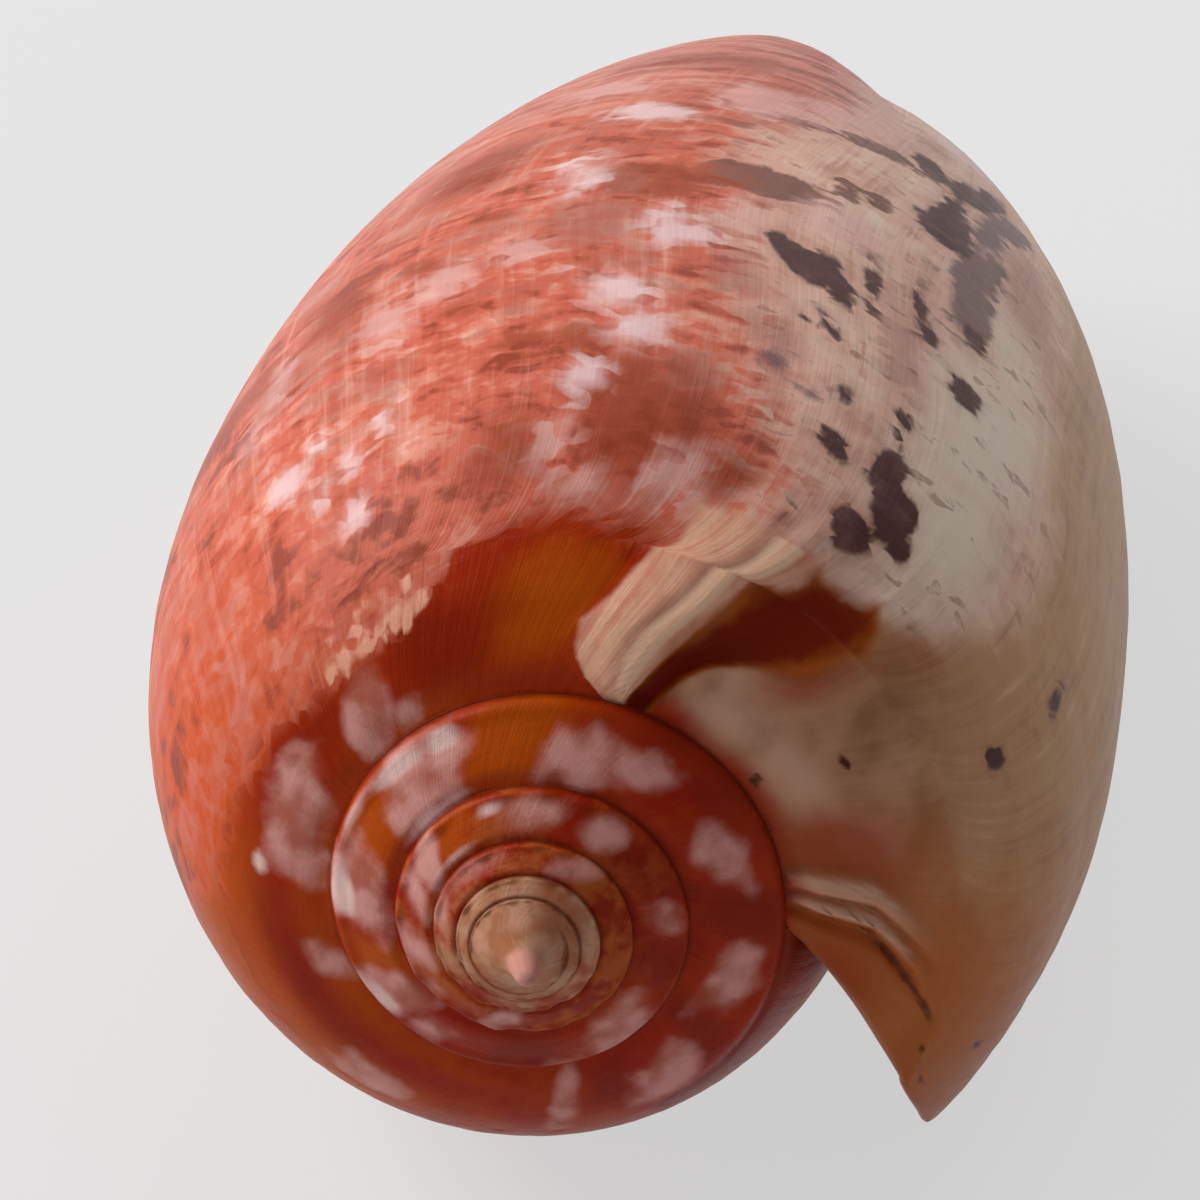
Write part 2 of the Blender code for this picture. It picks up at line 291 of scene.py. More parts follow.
def straight_lead(depth):
    share = depth ** LIP_LEAD_POWER
    straight = LIP_LEAD_SHOULDER * (1 - share) + LIP_LEAD_BASE * share
    return straight + 4 * LIP_LEAD_HUMP * share * (1 - share)


def lip_lead(depth):
    """How far ahead of the suture the growing edge stands; it runs straight down to the lip's tip."""
    lead = straight_lead(depth) - LIP_RECEDE * np.maximum(depth - LIP_RECEDE_DEPTH, 0) ** 2
    tip_lead = straight_lead(TIP_DEPTH)
    to_tip = LIP_LEAD_SHOULDER + (tip_lead - LIP_LEAD_SHOULDER) * (depth / TIP_DEPTH) ** TIP_POWER
    return np.where(depth < TIP_DEPTH, to_tip, lead)


def streak_lead(depth):
    """The lead of the growth streaks, which sweep forwards below the widest part."""
    sweep = np.maximum(depth - STREAK_SWEEP_START, 0) ** 2 - np.maximum(depth - STREAK_SWEEP_END, 0) ** 2
    return straight_lead(depth) + STREAK_SWEEP * sweep


def base_height(turn):
    """Height of the lower edge, with the siphonal notch and the rounded corner of the lip."""
    notch = NOTCH_DEPTH * bell(turn, NOTCH_TURN, NOTCH_SPREAD)
    corner = LIP_CORNER * np.clip(1 - (turn - CORNER_TURN) / CORNER_SPAN, 0, 1) ** 2
    return -SHELL_LENGTH + notch + corner


def spiral_point(radius, turn, height):
    """A point on the spiral, sheared by the lean of the columella."""
    angle = -2 * math.pi * turn
    lean = (height / SHELL_LENGTH) ** 2
    x = radius * np.cos(angle) + LEAN_X * lean
    y = -radius * np.sin(angle) + LEAN_Y * lean
    return np.stack([x, y, height + 0 * x], axis=-1)


def ramp_point(turn, share):
    """The ramp, from the suture (0) out to the shoulder (1)."""
    inner_radius = SHOULDER_RADIUS * growth(turn + 1)
    outer_radius = SHOULDER_RADIUS * growth(turn)
    swell = RAMP_SWELL * outer_radius * np.sin(math.pi * share)
    channel = CHANNEL_DEPTH * growth(turn) * bell(share, CHANNEL_SHARE, CHANNEL_SPREAD)
    rise = shoulder_height(turn) - shoulder_height(turn + 1)
    height = shoulder_height(turn + 1) + rise * share + swell - channel * (share > 0)
    radius = inner_radius + (outer_radius - inner_radius) * share
    return spiral_point(radius, turn, height)


def body_point(turn, depth):
    """The side of a whorl, from its shoulder (0) down to its base (1)."""
    base_share = depth ** BASE_SHARE_POWER
    shoulder_decay = SHOULDER_GROWTH * turn - GROWTH_SLOWING * turn ** 2
    decay = np.exp(-shoulder_decay * (1 - base_share) - BASE_GROWTH * turn * base_share)
    core = CORE_RADIUS * depth
    radius = core + (SHOULDER_RADIUS * profile_width(depth) - core) * decay
    behind_lip = np.maximum(turn + lip_lead(depth), 0)
    draw_in = LIP_DRAW_IN * np.exp(-behind_lip / LIP_DRAW_SPAN) * np.minimum(depth / LIP_DRAW_DEPTH, 1)
    top = shoulder_height(turn)
    height = top + (base_height(turn) - top) * depth
    return spiral_point(radius * (1 - draw_in), turn, height)


def lead_kept(line):
    """Share of the lip's lead that a growth line keeps: all near the lip, none further back."""
    return smooth((LIP_LEAD_GONE - line) / (LIP_LEAD_GONE - LIP_LEAD_KEPT))


def raised(point, turn, height, outward):
    """Moves a point off the surface; outward is 0 straight up and 1 straight out from the axis."""
    angle = -2 * math.pi * turn
    tilt = outward * math.pi / 2
    direction = [np.sin(tilt) * np.cos(angle), -np.sin(tilt) * np.sin(angle), np.cos(tilt) + 0 * angle]
    return point + np.stack(direction, axis=-1) * height[..., None]


def skin_turn(line, across):
    """Turn at a place on a growth line, which runs ahead of its suture by the lip's lead."""
    share = np.clip(across + 1, 0, 1)
    lead = np.where(across < 0, LIP_LEAD_SHOULDER * share, lip_lead(np.maximum(across, 0)))
    return line - lead * lead_kept(line)


def smooth_body(line, depth):
    return body_point(skin_turn(line, depth), depth)


def growth_line(column):
    """Growth line of a column, in turns; columns crowd together around the mended break."""
    share = column / COLUMNS
    swing = np.sin(math.tau * (share - CROWDED_LINE)) + math.sin(math.tau * CROWDED_LINE)
    return share - COLUMN_CROWDING / math.tau * swing


def inner_body(line, depth):
    """The inner face of the wall: thin at the lip and at the base, full in between."""
    lower = np.minimum(depth + NORMAL_STEP, 1.0)
    upper = np.maximum(depth - NORMAL_STEP, 0.0)
    along = smooth_body(line + NORMAL_STEP, depth) - smooth_body(line - NORMAL_STEP, depth)
    down = smooth_body(line, lower) - smooth_body(line, upper)
    normal = np.cross(along, down)
    normal /= np.linalg.norm(normal, axis=-1, keepdims=True)
    outward = smooth_body(line, depth) * np.array([1.0, 1.0, 0.0])
    facing = np.sum(normal * outward, axis=-1, keepdims=True)
    thickness = LIP_EDGE + (WALL - LIP_EDGE) * np.clip(line / LIP_THINNING, 0, 1)
    thickness = thickness + (BASE_WALL - thickness) * depth ** 2
    return smooth_body(line, depth) - normal * np.sign(facing) * thickness[..., None]


# ---- The outer face, with its relief ----

def across_to_mm(across):
    return across * np.where(across < 0, MM_RAMP, MM_BODY)


def streak_line(turn, across):
    """The growth streak through a point: constant along a former edge of the lip."""
    share = np.clip(across + 1, 0, 1)
    on_ramp = STREAK_SUTURE_LEAD + (LIP_LEAD_SHOULDER - STREAK_SUTURE_LEAD) * share
    return turn + np.where(across < 0, on_ramp, streak_lead(np.maximum(across, 0)))


def skin_point(line, across):
    """A point of the plain outer face, on the ramp or down the side."""
    share = np.clip(across + 1, 0, 1)
    turn = skin_turn(line, across)
    side = body_point(turn, np.maximum(across, 0))
    return np.where((across < 0)[..., None], ramp_point(turn, share), side)


def rounded_skin(line, across):
    """The outer face with its shoulder rounded, except at the lip and where the spire begins."""
    mm = across_to_mm(across)
    weight = smooth(line / ROUNDED_FROM_LIP) * smooth((1 - line) / ROUNDED_TO_WHORL)
    width = SHOULDER_ROUNDING_MM * weight * bell(mm, 0, SHOULDER_REACH_MM)
    total = 0
    for offset, share in zip(KERNEL, KERNEL_WEIGHTS):
        moved = mm + offset * width
        moved = np.where(moved < 0, np.maximum(moved / MM_RAMP, -1), moved / MM_BODY)
        total = total + share * skin_point(line, moved)
    return total


def ragged_rim(turn):
    """Uneven height of the early rims: the weights of a few waves a turn, around 1."""
    waves = sum(weight * np.sin(math.tau * rate * turn + phase) for weight, rate, phase in RAGGED_WAVES)
    return 1 + waves * smooth((turn - RAGGED_FROM_TURN) / RAGGED_SPAN)


def spire_relief(turn, across):
    """Raised outer rims and sunken sutures, which make the spire stepped."""
    share = across + 1
    stepped = smooth((turn - SPIRE_FROM_TURN) / (SPIRE_FULL_TURN - SPIRE_FROM_TURN))
    rim = SPIRE_RIM * bell(share, SPIRE_RIM_SHARE, SPIRE_RIM_SPREAD) * ragged_rim(turn)
    outer_groove = SUTURE_GROOVE * bell(share, 1, SUTURE_SPREAD)
    inner_groove = SUTURE_GROOVE * bell(share, 0, SUTURE_SPREAD)
    ramp = (rim + outer_groove) * stepped + inner_groove
    side = SUTURE_GROOVE * bell(across * MM_BODY / MM_RAMP, 0, SUTURE_SPREAD) * stepped
    return np.where(across < 0, ramp, side) * growth(turn) ** 0.5


def scar_place(streak, across):
    """Place across the mended break: 0 at its cliff, 1 and -1 at the borders of rib and hollow."""
    from_cliff = streak - CLIFF_LINE
    rib_width = curve(RIB_BORDER, across) - CLIFF_LINE
    hollow_width = CLIFF_LINE - curve(HOLLOW_BORDER, across)
    return np.where(from_cliff > 0, from_cliff / rib_width, from_cliff / hollow_width)


def scar_relief(streak, across):
    height = SCAR_HEIGHT * curve(SCAR_PROFILE, scar_place(streak, across))
    return height * smooth((across + 1) / SCAR_TOP_FADE) * bell(np.maximum(across, 0), 0, SCAR_END)


def old_lip_relief(streak, across):
    place = streak - curve(OLD_LIP_LINE, across)
    height = sum(fold * bell(place, centre, spread) for fold, centre, spread in OLD_LIP_FOLDS)
    ends = smooth((across + 1) / OLD_LIP_TOP_FADE) * smooth((OLD_LIP_END - across) / OLD_LIP_END_FADE)
    return height * ends


def ripples(streak, across):
    """Uneven growth ripples: waves along the streak coordinate that drift slowly across it."""
    random = np.random.default_rng(RIPPLE_SEED)
    height = 0 * streak
    for _ in range(RIPPLES):
        period = math.exp(random.uniform(math.log(RIPPLE_SHORTEST), math.log(RIPPLE_LONGEST)))
        phase = random.uniform(0, math.tau)
        drift = random.uniform(-RIPPLE_DRIFT, RIPPLE_DRIFT)
        start = random.uniform(0, math.tau)
        slope = random.uniform(*SWELL_SLOPES)
        swell = smooth(0.5 + SWELL_CONTRAST * np.sin(start + SWELL_RATE * streak + slope * across))
        weight = (period / RIPPLE_LONGEST) ** RIPPLE_WEIGHT_POWER
        height = height + weight * swell * np.sin(math.tau * streak / period + phase + drift * across)
    return height * RIPPLE_HEIGHT


def dents(streak, across):
    """Broad shallow dents down the side: two products of crossing waves, slow and quick."""
    waves = [np.sin(along * streak + down * across + phase) for along, down, phase in DENT_WAVES]
    uneven = waves[0] * waves[1] + QUICK_DENT_SHARE * waves[2] * waves[3]
    return DENT_HEIGHT * uneven * smooth(np.maximum(across, 0) / DENT_TOP_FADE)


def striae(streak, across):
    """Even fine lines on one area of the side."""
    height = STRIAE_HEIGHT * np.sin(math.tau * streak / STRIAE_PERIOD)
    return height * window(streak, *STRIAE_LINES) * window(across, *STRIAE_DEPTHS)


def relief(turn, across):
    """Height of the outer face over its plain form."""
    streak = streak_line(turn, across)
    fine = ripples(streak, across) + dents(streak, across) + striae(streak, across)
    calm = 1 - RAMP_CALM * smooth(-across / RAMP_CALM_FADE)
    broken = scar_relief(streak, across) + old_lip_relief(streak, across)
    broken = broken * smooth((SPIRE_FULL_TURN - turn) / LAST_WHORL_FADE)
    return spire_relief(turn, across) + fine * window(across, *FINE_RELIEF) * growth(turn) * calm + broken


def outer_skin(line, across):
    """The finished outer face; its relief rises along the ramp's facing, then straight out."""
    turn = skin_turn(line, across)
    outward = RAMP_FACING + (1 - RAMP_FACING) * np.clip(np.maximum(across, 0) / SCAR_DEPTH_FADE, 0, 1)
    return raised(rounded_skin(line, across), turn, relief(turn, across), outward)


# ---- The mesh ----

class ShellMesh:
    """Collects vertices, their place on the shell, and faces; grids share vertices along seams."""

    def __init__(self):
        self.points = []
        self.lines = []
        self.across = []
        self.inside = []
        self.turns = []
        self.faces = []

    def add(self, points, line, across, turn, inside=0.0):
        """Adds an array of points and returns their vertex numbers in the same shape."""
        shape = points.shape[:-1]
        start = len(self.points)
        self.points.extend(points.reshape(-1, 3).tolist())
        stores = (self.lines, self.across, self.turns, self.inside)
        for store, value in zip(stores, (line, across, turn, inside)):
            store.extend(np.broadcast_to(value, shape).ravel().tolist())
        return np.arange(start, len(self.points)).reshape(shape)

    def face(self, corners):
        corners = list(dict.fromkeys(int(c) for c in corners))
        if len(corners) > 2:
            self.faces.append(corners)

    def strip(self, first, second):
        for corners in zip(first, first[1:], second[1:], second):
            self.face(corners)

    def grid(self, rows):
        for first, second in zip(rows, rows[1:]):
            self.strip(first, second)

    def zip_rows(self, first, first_places, second, second_places):
        """Joins two rows with different numbers of vertices, in the order of their places."""
        a = b = 0
        while a < len(first) - 1 or b < len(second) - 1:
            next_a = first_places[a + 1] if a < len(first) - 1 else math.inf
            next_b = second_places[b + 1] if b < len(second) - 1 else math.inf
            if abs(next_a - next_b) < SAME_PLACE:
                self.face((first[a], first[a + 1], second[b + 1], second[b]))
                a += 1
                b += 1
            elif next_a < next_b:
                self.face((first[a], first[a + 1], second[b]))
                a += 1
            else:
                self.face((first[a], second[b + 1], second[b]))
                b += 1

    def cone(self, rings, tip):
        """Joins closed rings in turn, and the last one to a single vertex."""
        closed = [np.append(ring, ring[0]) for ring in rings]
        self.grid(closed)
        for a, b in zip(closed[-1], closed[-1][1:]):
            self.face((a, b, tip))


def row_depths(rows):
    return (np.asarray(rows) / BODY_ROWS) ** ROW_CROWDING


def places(columns, rows):
    """Growth line and depth of every vertex of a grid on the side."""
    return np.meshgrid(growth_line(columns), row_depths(rows))


def ramp_shares():
    """Shares of the rows between a suture and its shoulder, closer together near both."""
    return (1 - np.cos(math.pi * np.arange(1, RAMP_ROWS) / RAMP_ROWS)) / 2


def add_skin(mesh, line, across):
    """Adds vertices of the outer face, with their place on the shell."""
    turn = skin_turn(line, across)
    return mesh.add(outer_skin(line, across), streak_line(turn, across), across, turn)


def body_grid(mesh):
    """The side of the last whorl, one row of vertices per depth."""
    body = add_skin(mesh, *places(np.arange(COLUMNS + 1), OUTER_ROWS))
    mesh.grid(body)
    return body


def parietal_grid(mesh, body):
    """The wall of the whorl before, which faces the mouth; its first column is the body's last."""
    line, depth = places(COLUMNS + INNER_COLUMNS[1:], HUNG_ROWS)
    wall = mesh.add(smooth_body(line, depth), line, depth, line, inside=1.0)
    mesh.grid(wall)
    mesh.zip_rows(body[HANG_ROW:, -1], OUTER_ROWS[HANG_ROW:], wall[:, 0], HUNG_ROWS)
    return np.concatenate([body[HUNG_ROWS, -1][:, None], wall], axis=1)


def ramp_grids(mesh, body):
    """The ramp of every whorl, from the lip inwards; each suture is the next whorl's shoulder."""
    shoulder = body[0]
    for whorl in range(WHORLS):
        stride = 1 if whorl == 0 else SPIRE_STRIDE
        columns = whorl * COLUMNS + np.arange(0, COLUMNS + 1, stride)
        final = whorl == WHORLS - 1
        taper = (columns - columns[0]) / COLUMNS if final else 0 * columns
        line, step = np.meshgrid(growth_line(columns), ramp_shares())
        rows = add_skin(mesh, line, step + (1 - step) * taper - 1)
        if whorl == 0:
            first_column = rows[:, 0]
        else:
            rows[:, 0] = last_column
        if final:
            rows[:, -1] = shoulder[-1]
        mesh.grid([*rows, shoulder])
        suture, suture_columns = add_suture(mesh, whorl, shoulder[-1], final)
        mesh.zip_rows(rows[0], columns, suture, suture_columns)
        last_column = rows[:, -1]
        shoulder = suture
    return first_column, shoulder[:-1]


def add_suture(mesh, whorl, first, final):
    """The suture of a whorl, on the columns of the next one; the last one closes on itself."""
    columns = whorl * COLUMNS + np.arange(0, COLUMNS + 1, SPIRE_STRIDE)
    share = (columns - columns[0]) / COLUMNS if final else 0.0 * columns
    row = np.concatenate([[first], add_skin(mesh, growth_line(columns[1:]), share[1:] - 1)])
    if final:
        row[-1] = first
    return row, columns


def smooth_profile(corners):
    """Rounds a line of (radius, drop) corners by cutting them, keeping its ends."""
    line = np.array(corners)
    for _ in range(PROFILE_CUTS):
        near = (1 - CUT_SHARE) * line[:-1] + CUT_SHARE * line[1:]
        far = CUT_SHARE * line[:-1] + (1 - CUT_SHARE) * line[1:]
        cut = np.stack([near, far], axis=1).reshape(-1, 2)
        line = np.concatenate([line[:1], cut[1:-1], line[-1:]])
    return line


def close_spire(mesh, ring):
    """The pointed first shell, from the innermost suture up to the apex."""
    columns = (WHORLS - 1) * COLUMNS + np.arange(0, COLUMNS, SPIRE_STRIDE)
    turns = growth_line(columns)
    lean = np.array([*NUCLEUS_LEAN, 0.0])
    crown = [share * size for share, size in zip(CROWN, NUCLEUS_RINGS[-1])]
    rings = [ring]
    for radius, drop in smooth_profile([*NUCLEUS_RINGS, crown, (0.0, 0.0)])[:-1]:
        height = 1 - drop / NUCLEUS_BASE
        points = spiral_point(radius, turns, -drop) + lean * height
        rings.append(mesh.add(points, turns, NUCLEUS_ACROSS, WHORLS + height))
    apex = mesh.add(lean[None, :], turns[:1], NUCLEUS_ACROSS, WHORLS + 1.0)
    mesh.cone(rings, apex[0])


def inner_grid(mesh, parietal):
    """Inner face of the outer wall, hung from the row just under the suture."""
    line, depth = places(INNER_COLUMNS, INNER_ROWS)
    wall_points = inner_body(line, depth)
    hang_points = np.array(mesh.points)[parietal[0]]
    reach = wall_points[0] - hang_points
    roof_points = np.stack([hang_points + reach * step for step in INNER_RAMP_STEPS])
    roof = mesh.add(roof_points, line[:1], 0.0, line[:1], inside=1.0)
    wall = mesh.add(wall_points, line, depth, line, inside=1.0)
    inner = np.concatenate([parietal[:1], roof, wall])
    mesh.grid(inner)
    return inner


def rounded_rows(mesh, outer, outer_places, inner, inner_places, direction):
    """Rows that round the edge between two faces of the wall, from the outer to the inner one."""
    points = np.array(mesh.points)
    inner_points = [np.interp(outer_places, inner_places, column) for column in points[inner].T]
    inner_points = np.stack(inner_points, axis=1)
    middle = (points[outer] + inner_points) / 2
    half = (points[outer] - inner_points) / 2
    bulge = EDGE_BULGE * 2 * np.linalg.norm(half, axis=1, keepdims=True) * direction
    return np.stack([middle + half * math.cos(angle) + bulge * math.sin(angle) for angle in EDGE_ANGLES])


def close_lip(mesh, body, first_ramp, inner):
    """The free edge of the outer lip; returns the vertices at its lower corner."""
    outer = np.concatenate([[body[0, -1]], first_ramp, body[:, 0]])
    depths = row_depths(OUTER_ROWS)
    outer_places = np.concatenate([[0.0], ramp_shares(), 1 + depths])
    inner_column = inner[:, 0]
    inner_places = np.concatenate([[0.0], INNER_RAMP_STEPS, 1 + row_depths(INNER_ROWS)])
    ahead = body_point(-lip_lead(depths) - NORMAL_STEP, depths) - body_point(-lip_lead(depths), depths)
    ahead /= np.linalg.norm(ahead, axis=1, keepdims=True)
    direction = np.concatenate([np.repeat(ahead[:1], RAMP_ROWS, axis=0), ahead])
    points = rounded_rows(mesh, outer, outer_places, inner_column, inner_places, direction)
    line = np.zeros(len(outer))
    rows = mesh.add(points, line, outer_places - 1, line)
    rows[:, 0] = outer[0]
    mesh.grid([outer, *rows])
    hanging = body[1:HANG_ROW, -1]
    chain = np.concatenate([hanging, inner_column])
    chain_places = np.concatenate([0.0 * hanging, inner_places])
    mesh.zip_rows(rows[-1], outer_places, chain, chain_places)
    return rows[:, -1]


def close_base(mesh, body, parietal, inner, corner):
    """The open lower rim, and the solid foot of the columella past it."""
    outer_rim = body[-1, :CAVITY_COLUMN + 1]
    inner_rim = inner[-1]
    columns = np.arange(CAVITY_COLUMN + 1)
    fading = smooth((CAVITY_COLUMN - columns) / RIM_FADING)[:, None]
    points = rounded_rows(mesh, outer_rim, columns, inner_rim, INNER_COLUMNS, DOWNWARD * fading)
    lines = np.array(mesh.lines)[outer_rim]
    rows = mesh.add(points, lines, 1.0, lines)
    rows[:, 0] = corner
    rows[:, -1] = outer_rim[-1]
    mesh.grid([outer_rim, *rows])
    mesh.zip_rows(rows[-1], columns, inner_rim, INNER_COLUMNS)
    loop = np.concatenate([inner_rim[-1:], body[-1, CAVITY_COLUMN:], parietal[-1, 1:]])
    loop_points = np.array(mesh.points)[loop]
    centre = loop_points.mean(axis=0)
    depth = DOWNWARD * TIP_ROUNDING
    rings = [loop]
    for angle in FOOT_ANGLES:
        ring = centre + (loop_points - centre) * math.cos(angle) + depth * math.sin(angle)
        rings.append(mesh.add(ring, FOOT_LINE, 1.0, 1.0, inside=1.0))
    tip = mesh.add((centre + depth)[None, :], FOOT_LINE, 1.0, 1.0, inside=1.0)
    mesh.cone(rings, tip[0])


def close_cavity(mesh, parietal, inner):
    """The wall that ends the modelled hollow, deep inside the shell."""
    wall = inner[:, -1]
    side = 1 + len(INNER_RAMP_STEPS) + HANG_ROW // INNER_STRIDE
    for a, b in zip(wall[1:side], wall[2:side + 1]):
        mesh.face((wall[0], a, b))
    mesh.strip(wall[side:], parietal[:, -1])


def build_shell_mesh():
    shell = ShellMesh()
    body = body_grid(shell)
    parietal = parietal_grid(shell, body)
    first_ramp, ring = ramp_grids(shell, body)
    close_spire(shell, ring)
    inner = inner_grid(shell, parietal)
    corner = close_lip(shell, body, first_ramp, inner)
    close_base(shell, body, parietal, inner, corner)
    close_cavity(shell, parietal, inner)
    return shell


# ---- Markings ----
# Each patch is (young streak, old streak, top, bottom[, lean]): its extent along the streak
# coordinate, in turns, and across, with its lean in turns per unit across.

# Dark blotches on the side: a chain from the mended break to the base, and loose ones behind it.
PURPLE = (
    (0.230, 0.249, 0.066, 0.110), (0.227, 0.236, 0.061, 0.082), (0.241, 0.256, 0.096, 0.134),
    (0.245, 0.249, 0.132, 0.160), (0.2448, 0.2515, 0.156, 0.181), (0.242, 0.259, 0.046, 0.072, -0.1),
    (0.263, 0.275, 0.100, 0.120, 0.2), (0.270, 0.2745, 0.034, 0.049), (0.268, 0.2715, 0.153, 0.165),
    (0.283, 0.290, 0.210, 0.222, 0.2), (0.275, 0.280, 0.211, 0.229, 0.2), (0.260, 0.265, 0.276, 0.336),
    (0.280, 0.297, 0.266, 0.318, 0.2), (0.270, 0.283, 0.260, 0.316, 0.1),
    (0.2425, 0.247, 0.296, 0.352), (0.238, 0.244, 0.280, 0.302, 0.1),
    (0.220, 0.233, 0.234, 0.267, -0.1), (0.236, 0.255, 0.448, 0.530, 0.1), (0.246, 0.258, 0.455, 0.490),
    (0.240, 0.256, 0.566, 0.632, -0.1), (0.257, 0.273, 0.572, 0.630, 0.2), (0.234, 0.247, 0.566, 0.680, -0.1),
    (0.244, 0.254, 0.500, 0.572), (0.218, 0.228, 0.324, 0.350), (0.1445, 0.152, 0.037, 0.049),
    (0.146, 0.153, 0.106, 0.134),
)
MAUVE = (
    (0.217, 0.235, 0.330, 0.434), (0.218, 0.238, 0.390, 0.500),
    (0.218, 0.238, 0.554, 0.640, -0.15), (0.226, 0.240, 0.490, 0.570), (0.290, 0.302, 0.146, 0.168, 0.1),
    (0.285, 0.294, 0.142, 0.154, 0.1), (0.2785, 0.2835, 0.140, 0.150),
)
MAUVE_VEIL = (
    (0.197, 0.223, 0.418, 0.576, 0.1), (0.341, 0.374, 0.258, 0.332), (0.345, 0.358, 0.335, 0.390),
    (0.288, 0.306, 0.166, 0.200), (0.300, 0.318, 0.215, 0.262), (0.245, 0.258, 0.190, 0.300),
    (0.262, 0.275, 0.640, 0.700),
)
# Browner shades: dashes along the spiral on the cream side, and broad soft areas on the coral one.
BROWN = (
    (0.296, 0.315, 0.518, 0.546, -1.0), (0.277, 0.296, 0.524, 0.582, -0.5),
    (0.284, 0.329, 0.365, 0.418, -0.3), (0.276, 0.284, 0.426, 0.454),
    (0.266, 0.275, 0.436, 0.460), (0.325, 0.360, 0.334, 0.392),
    (0.409, 0.422, 0.260, 0.292, 0.3), (0.350, 0.366, 0.130, 0.158), (0.318, 0.330, 0.596, 0.606),
    (0.300, 0.312, 0.640, 0.650), (0.322, 0.342, 0.484, 0.500), (0.385, 0.400, 0.318, 0.334),
    (0.430, 0.444, 0.210, 0.222), (0.396, 0.408, 0.190, 0.204), (0.372, 0.386, 0.140, 0.152),
)
RUSSET = (
    (0.309, 0.360, 0.030, 0.130, 0.1), (0.311, 0.335, 0.092, 0.134), (0.436, 0.462, 0.235, 0.315),
    (0.464, 0.485, 0.194, 0.250), (0.394, 0.430, 0.395, 0.480), (0.480, 0.545, 0.235, 0.285),
    (0.286, 0.311, 0.034, 0.070), (0.330, 0.400, 0.640, 0.690), (0.365, 0.392, 0.030, 0.075),
)
WHITE = (
    (0.345, 0.376, 0.486, 0.524, 0.3), (0.3165, 0.338, 0.270, 0.296), (0.326, 0.338, 0.264, 0.313),
    (0.350, 0.363, 0.096, 0.124, 0.1), (0.465, 0.478, 0.085, 0.107), (0.436, 0.447, 0.033, 0.051),
    (0.438, 0.448, 0.072, 0.092), (0.340, 0.356, 0.186, 0.214), (0.334, 0.347, 0.145, 0.170),
    (0.235, 0.272, 0.705, 0.785), (0.358, 0.366, 0.350, 0.374), (0.366, 0.375, 0.385, 0.412),
    (0.452, 0.458, 0.066, 0.078), (0.428, 0.434, 0.096, 0.110), (0.452, 0.460, 0.110, 0.122),
)
PALE_VEIL = (
    (0.357, 0.376, 0.346, 0.418), (0.340, 0.362, 0.170, 0.222, 0.2), (0.331, 0.352, 0.138, 0.176),
    (0.354, 0.367, 0.042, 0.078), (0.339, 0.350, 0.018, 0.038), (0.374, 0.405, 0.560, 0.606, 0.4),
    (0.299, 0.314, 0.540, 0.612), (0.312, 0.345, 0.520, 0.590), (0.483, 0.499, 0.148, 0.192),
    (0.469, 0.480, 0.198, 0.254), (0.399, 0.419, 0.215, 0.262), (0.370, 0.390, 0.243, 0.277),
    (0.419, 0.438, 0.180, 0.240), (0.305, 0.324, 0.024, 0.060), (0.283, 0.300, 0.580, 0.700),
    (0.262, 0.290, 0.345, 0.400), (0.222, 0.242, 0.500, 0.540, -0.2), (0.300, 0.316, 0.300, 0.350),
)
GREY_WHITE = ((0.197, 0.240, 0.100, 0.320, -0.1), (0.199, 0.236, 0.040, 0.200), (0.198, 0.216, 0.300, 0.400))

# Rounded spots of lilac on the ramps, from the break inwards.
LILAC = (
    (0.413, 0.448, -0.97, -0.42), (0.394, 0.410, -0.96, -0.80), (0.478, 0.556, -0.93, -0.42),
    (0.526, 0.534, -0.99, -0.84), (0.612, 0.640, -0.95, -0.68), (0.714, 0.750, -0.41, -0.10),
    (0.841, 0.858, -0.82, -0.08), (0.902, 0.950, -0.66, -0.12), (0.985, 1.044, -0.74, -0.24, 0.07),
    (1.096, 1.152, -0.74, -0.30), (1.232, 1.306, -0.97, -0.33), (1.204, 1.250, -0.70, -0.34),
    (1.388, 1.476, -0.93, -0.10), (1.515, 1.598, -0.88, -0.06), (1.648, 1.703, -1.00, -0.05),
    (1.712, 1.755, -0.62, -0.25), (1.878, 1.968, -0.75, -0.06), (2.066, 2.105, -0.78, -0.17),
    (2.207, 2.247, -0.80, -0.26), (2.286, 2.362, -0.94, -0.19), (2.462, 2.502, -0.98, -0.11),
    (2.510, 2.560, -0.85, -0.15), (2.580, 2.640, -0.75, -0.15), (2.668, 2.700, -0.35, -0.05),
    (2.772, 2.812, -0.90, -0.11), (3.206, 3.260, -0.79, -0.08), (3.430, 3.560, -0.50, -0.06),
)
BRIGHT = (
    (1.392, 1.417, -0.34, -0.14), (1.430, 1.476, -0.31, -0.13, 0.1), (1.404, 1.456, -0.96, -0.88),
    (1.553, 1.592, -0.38, -0.10), (0.563, 0.571, -0.46, -0.39), (2.405, 2.450, -0.85, -0.74),
    (1.665, 1.700, -0.32, -0.10), (2.362, 2.390, -0.40, -0.18), (1.482, 1.530, -0.18, -0.10),
)
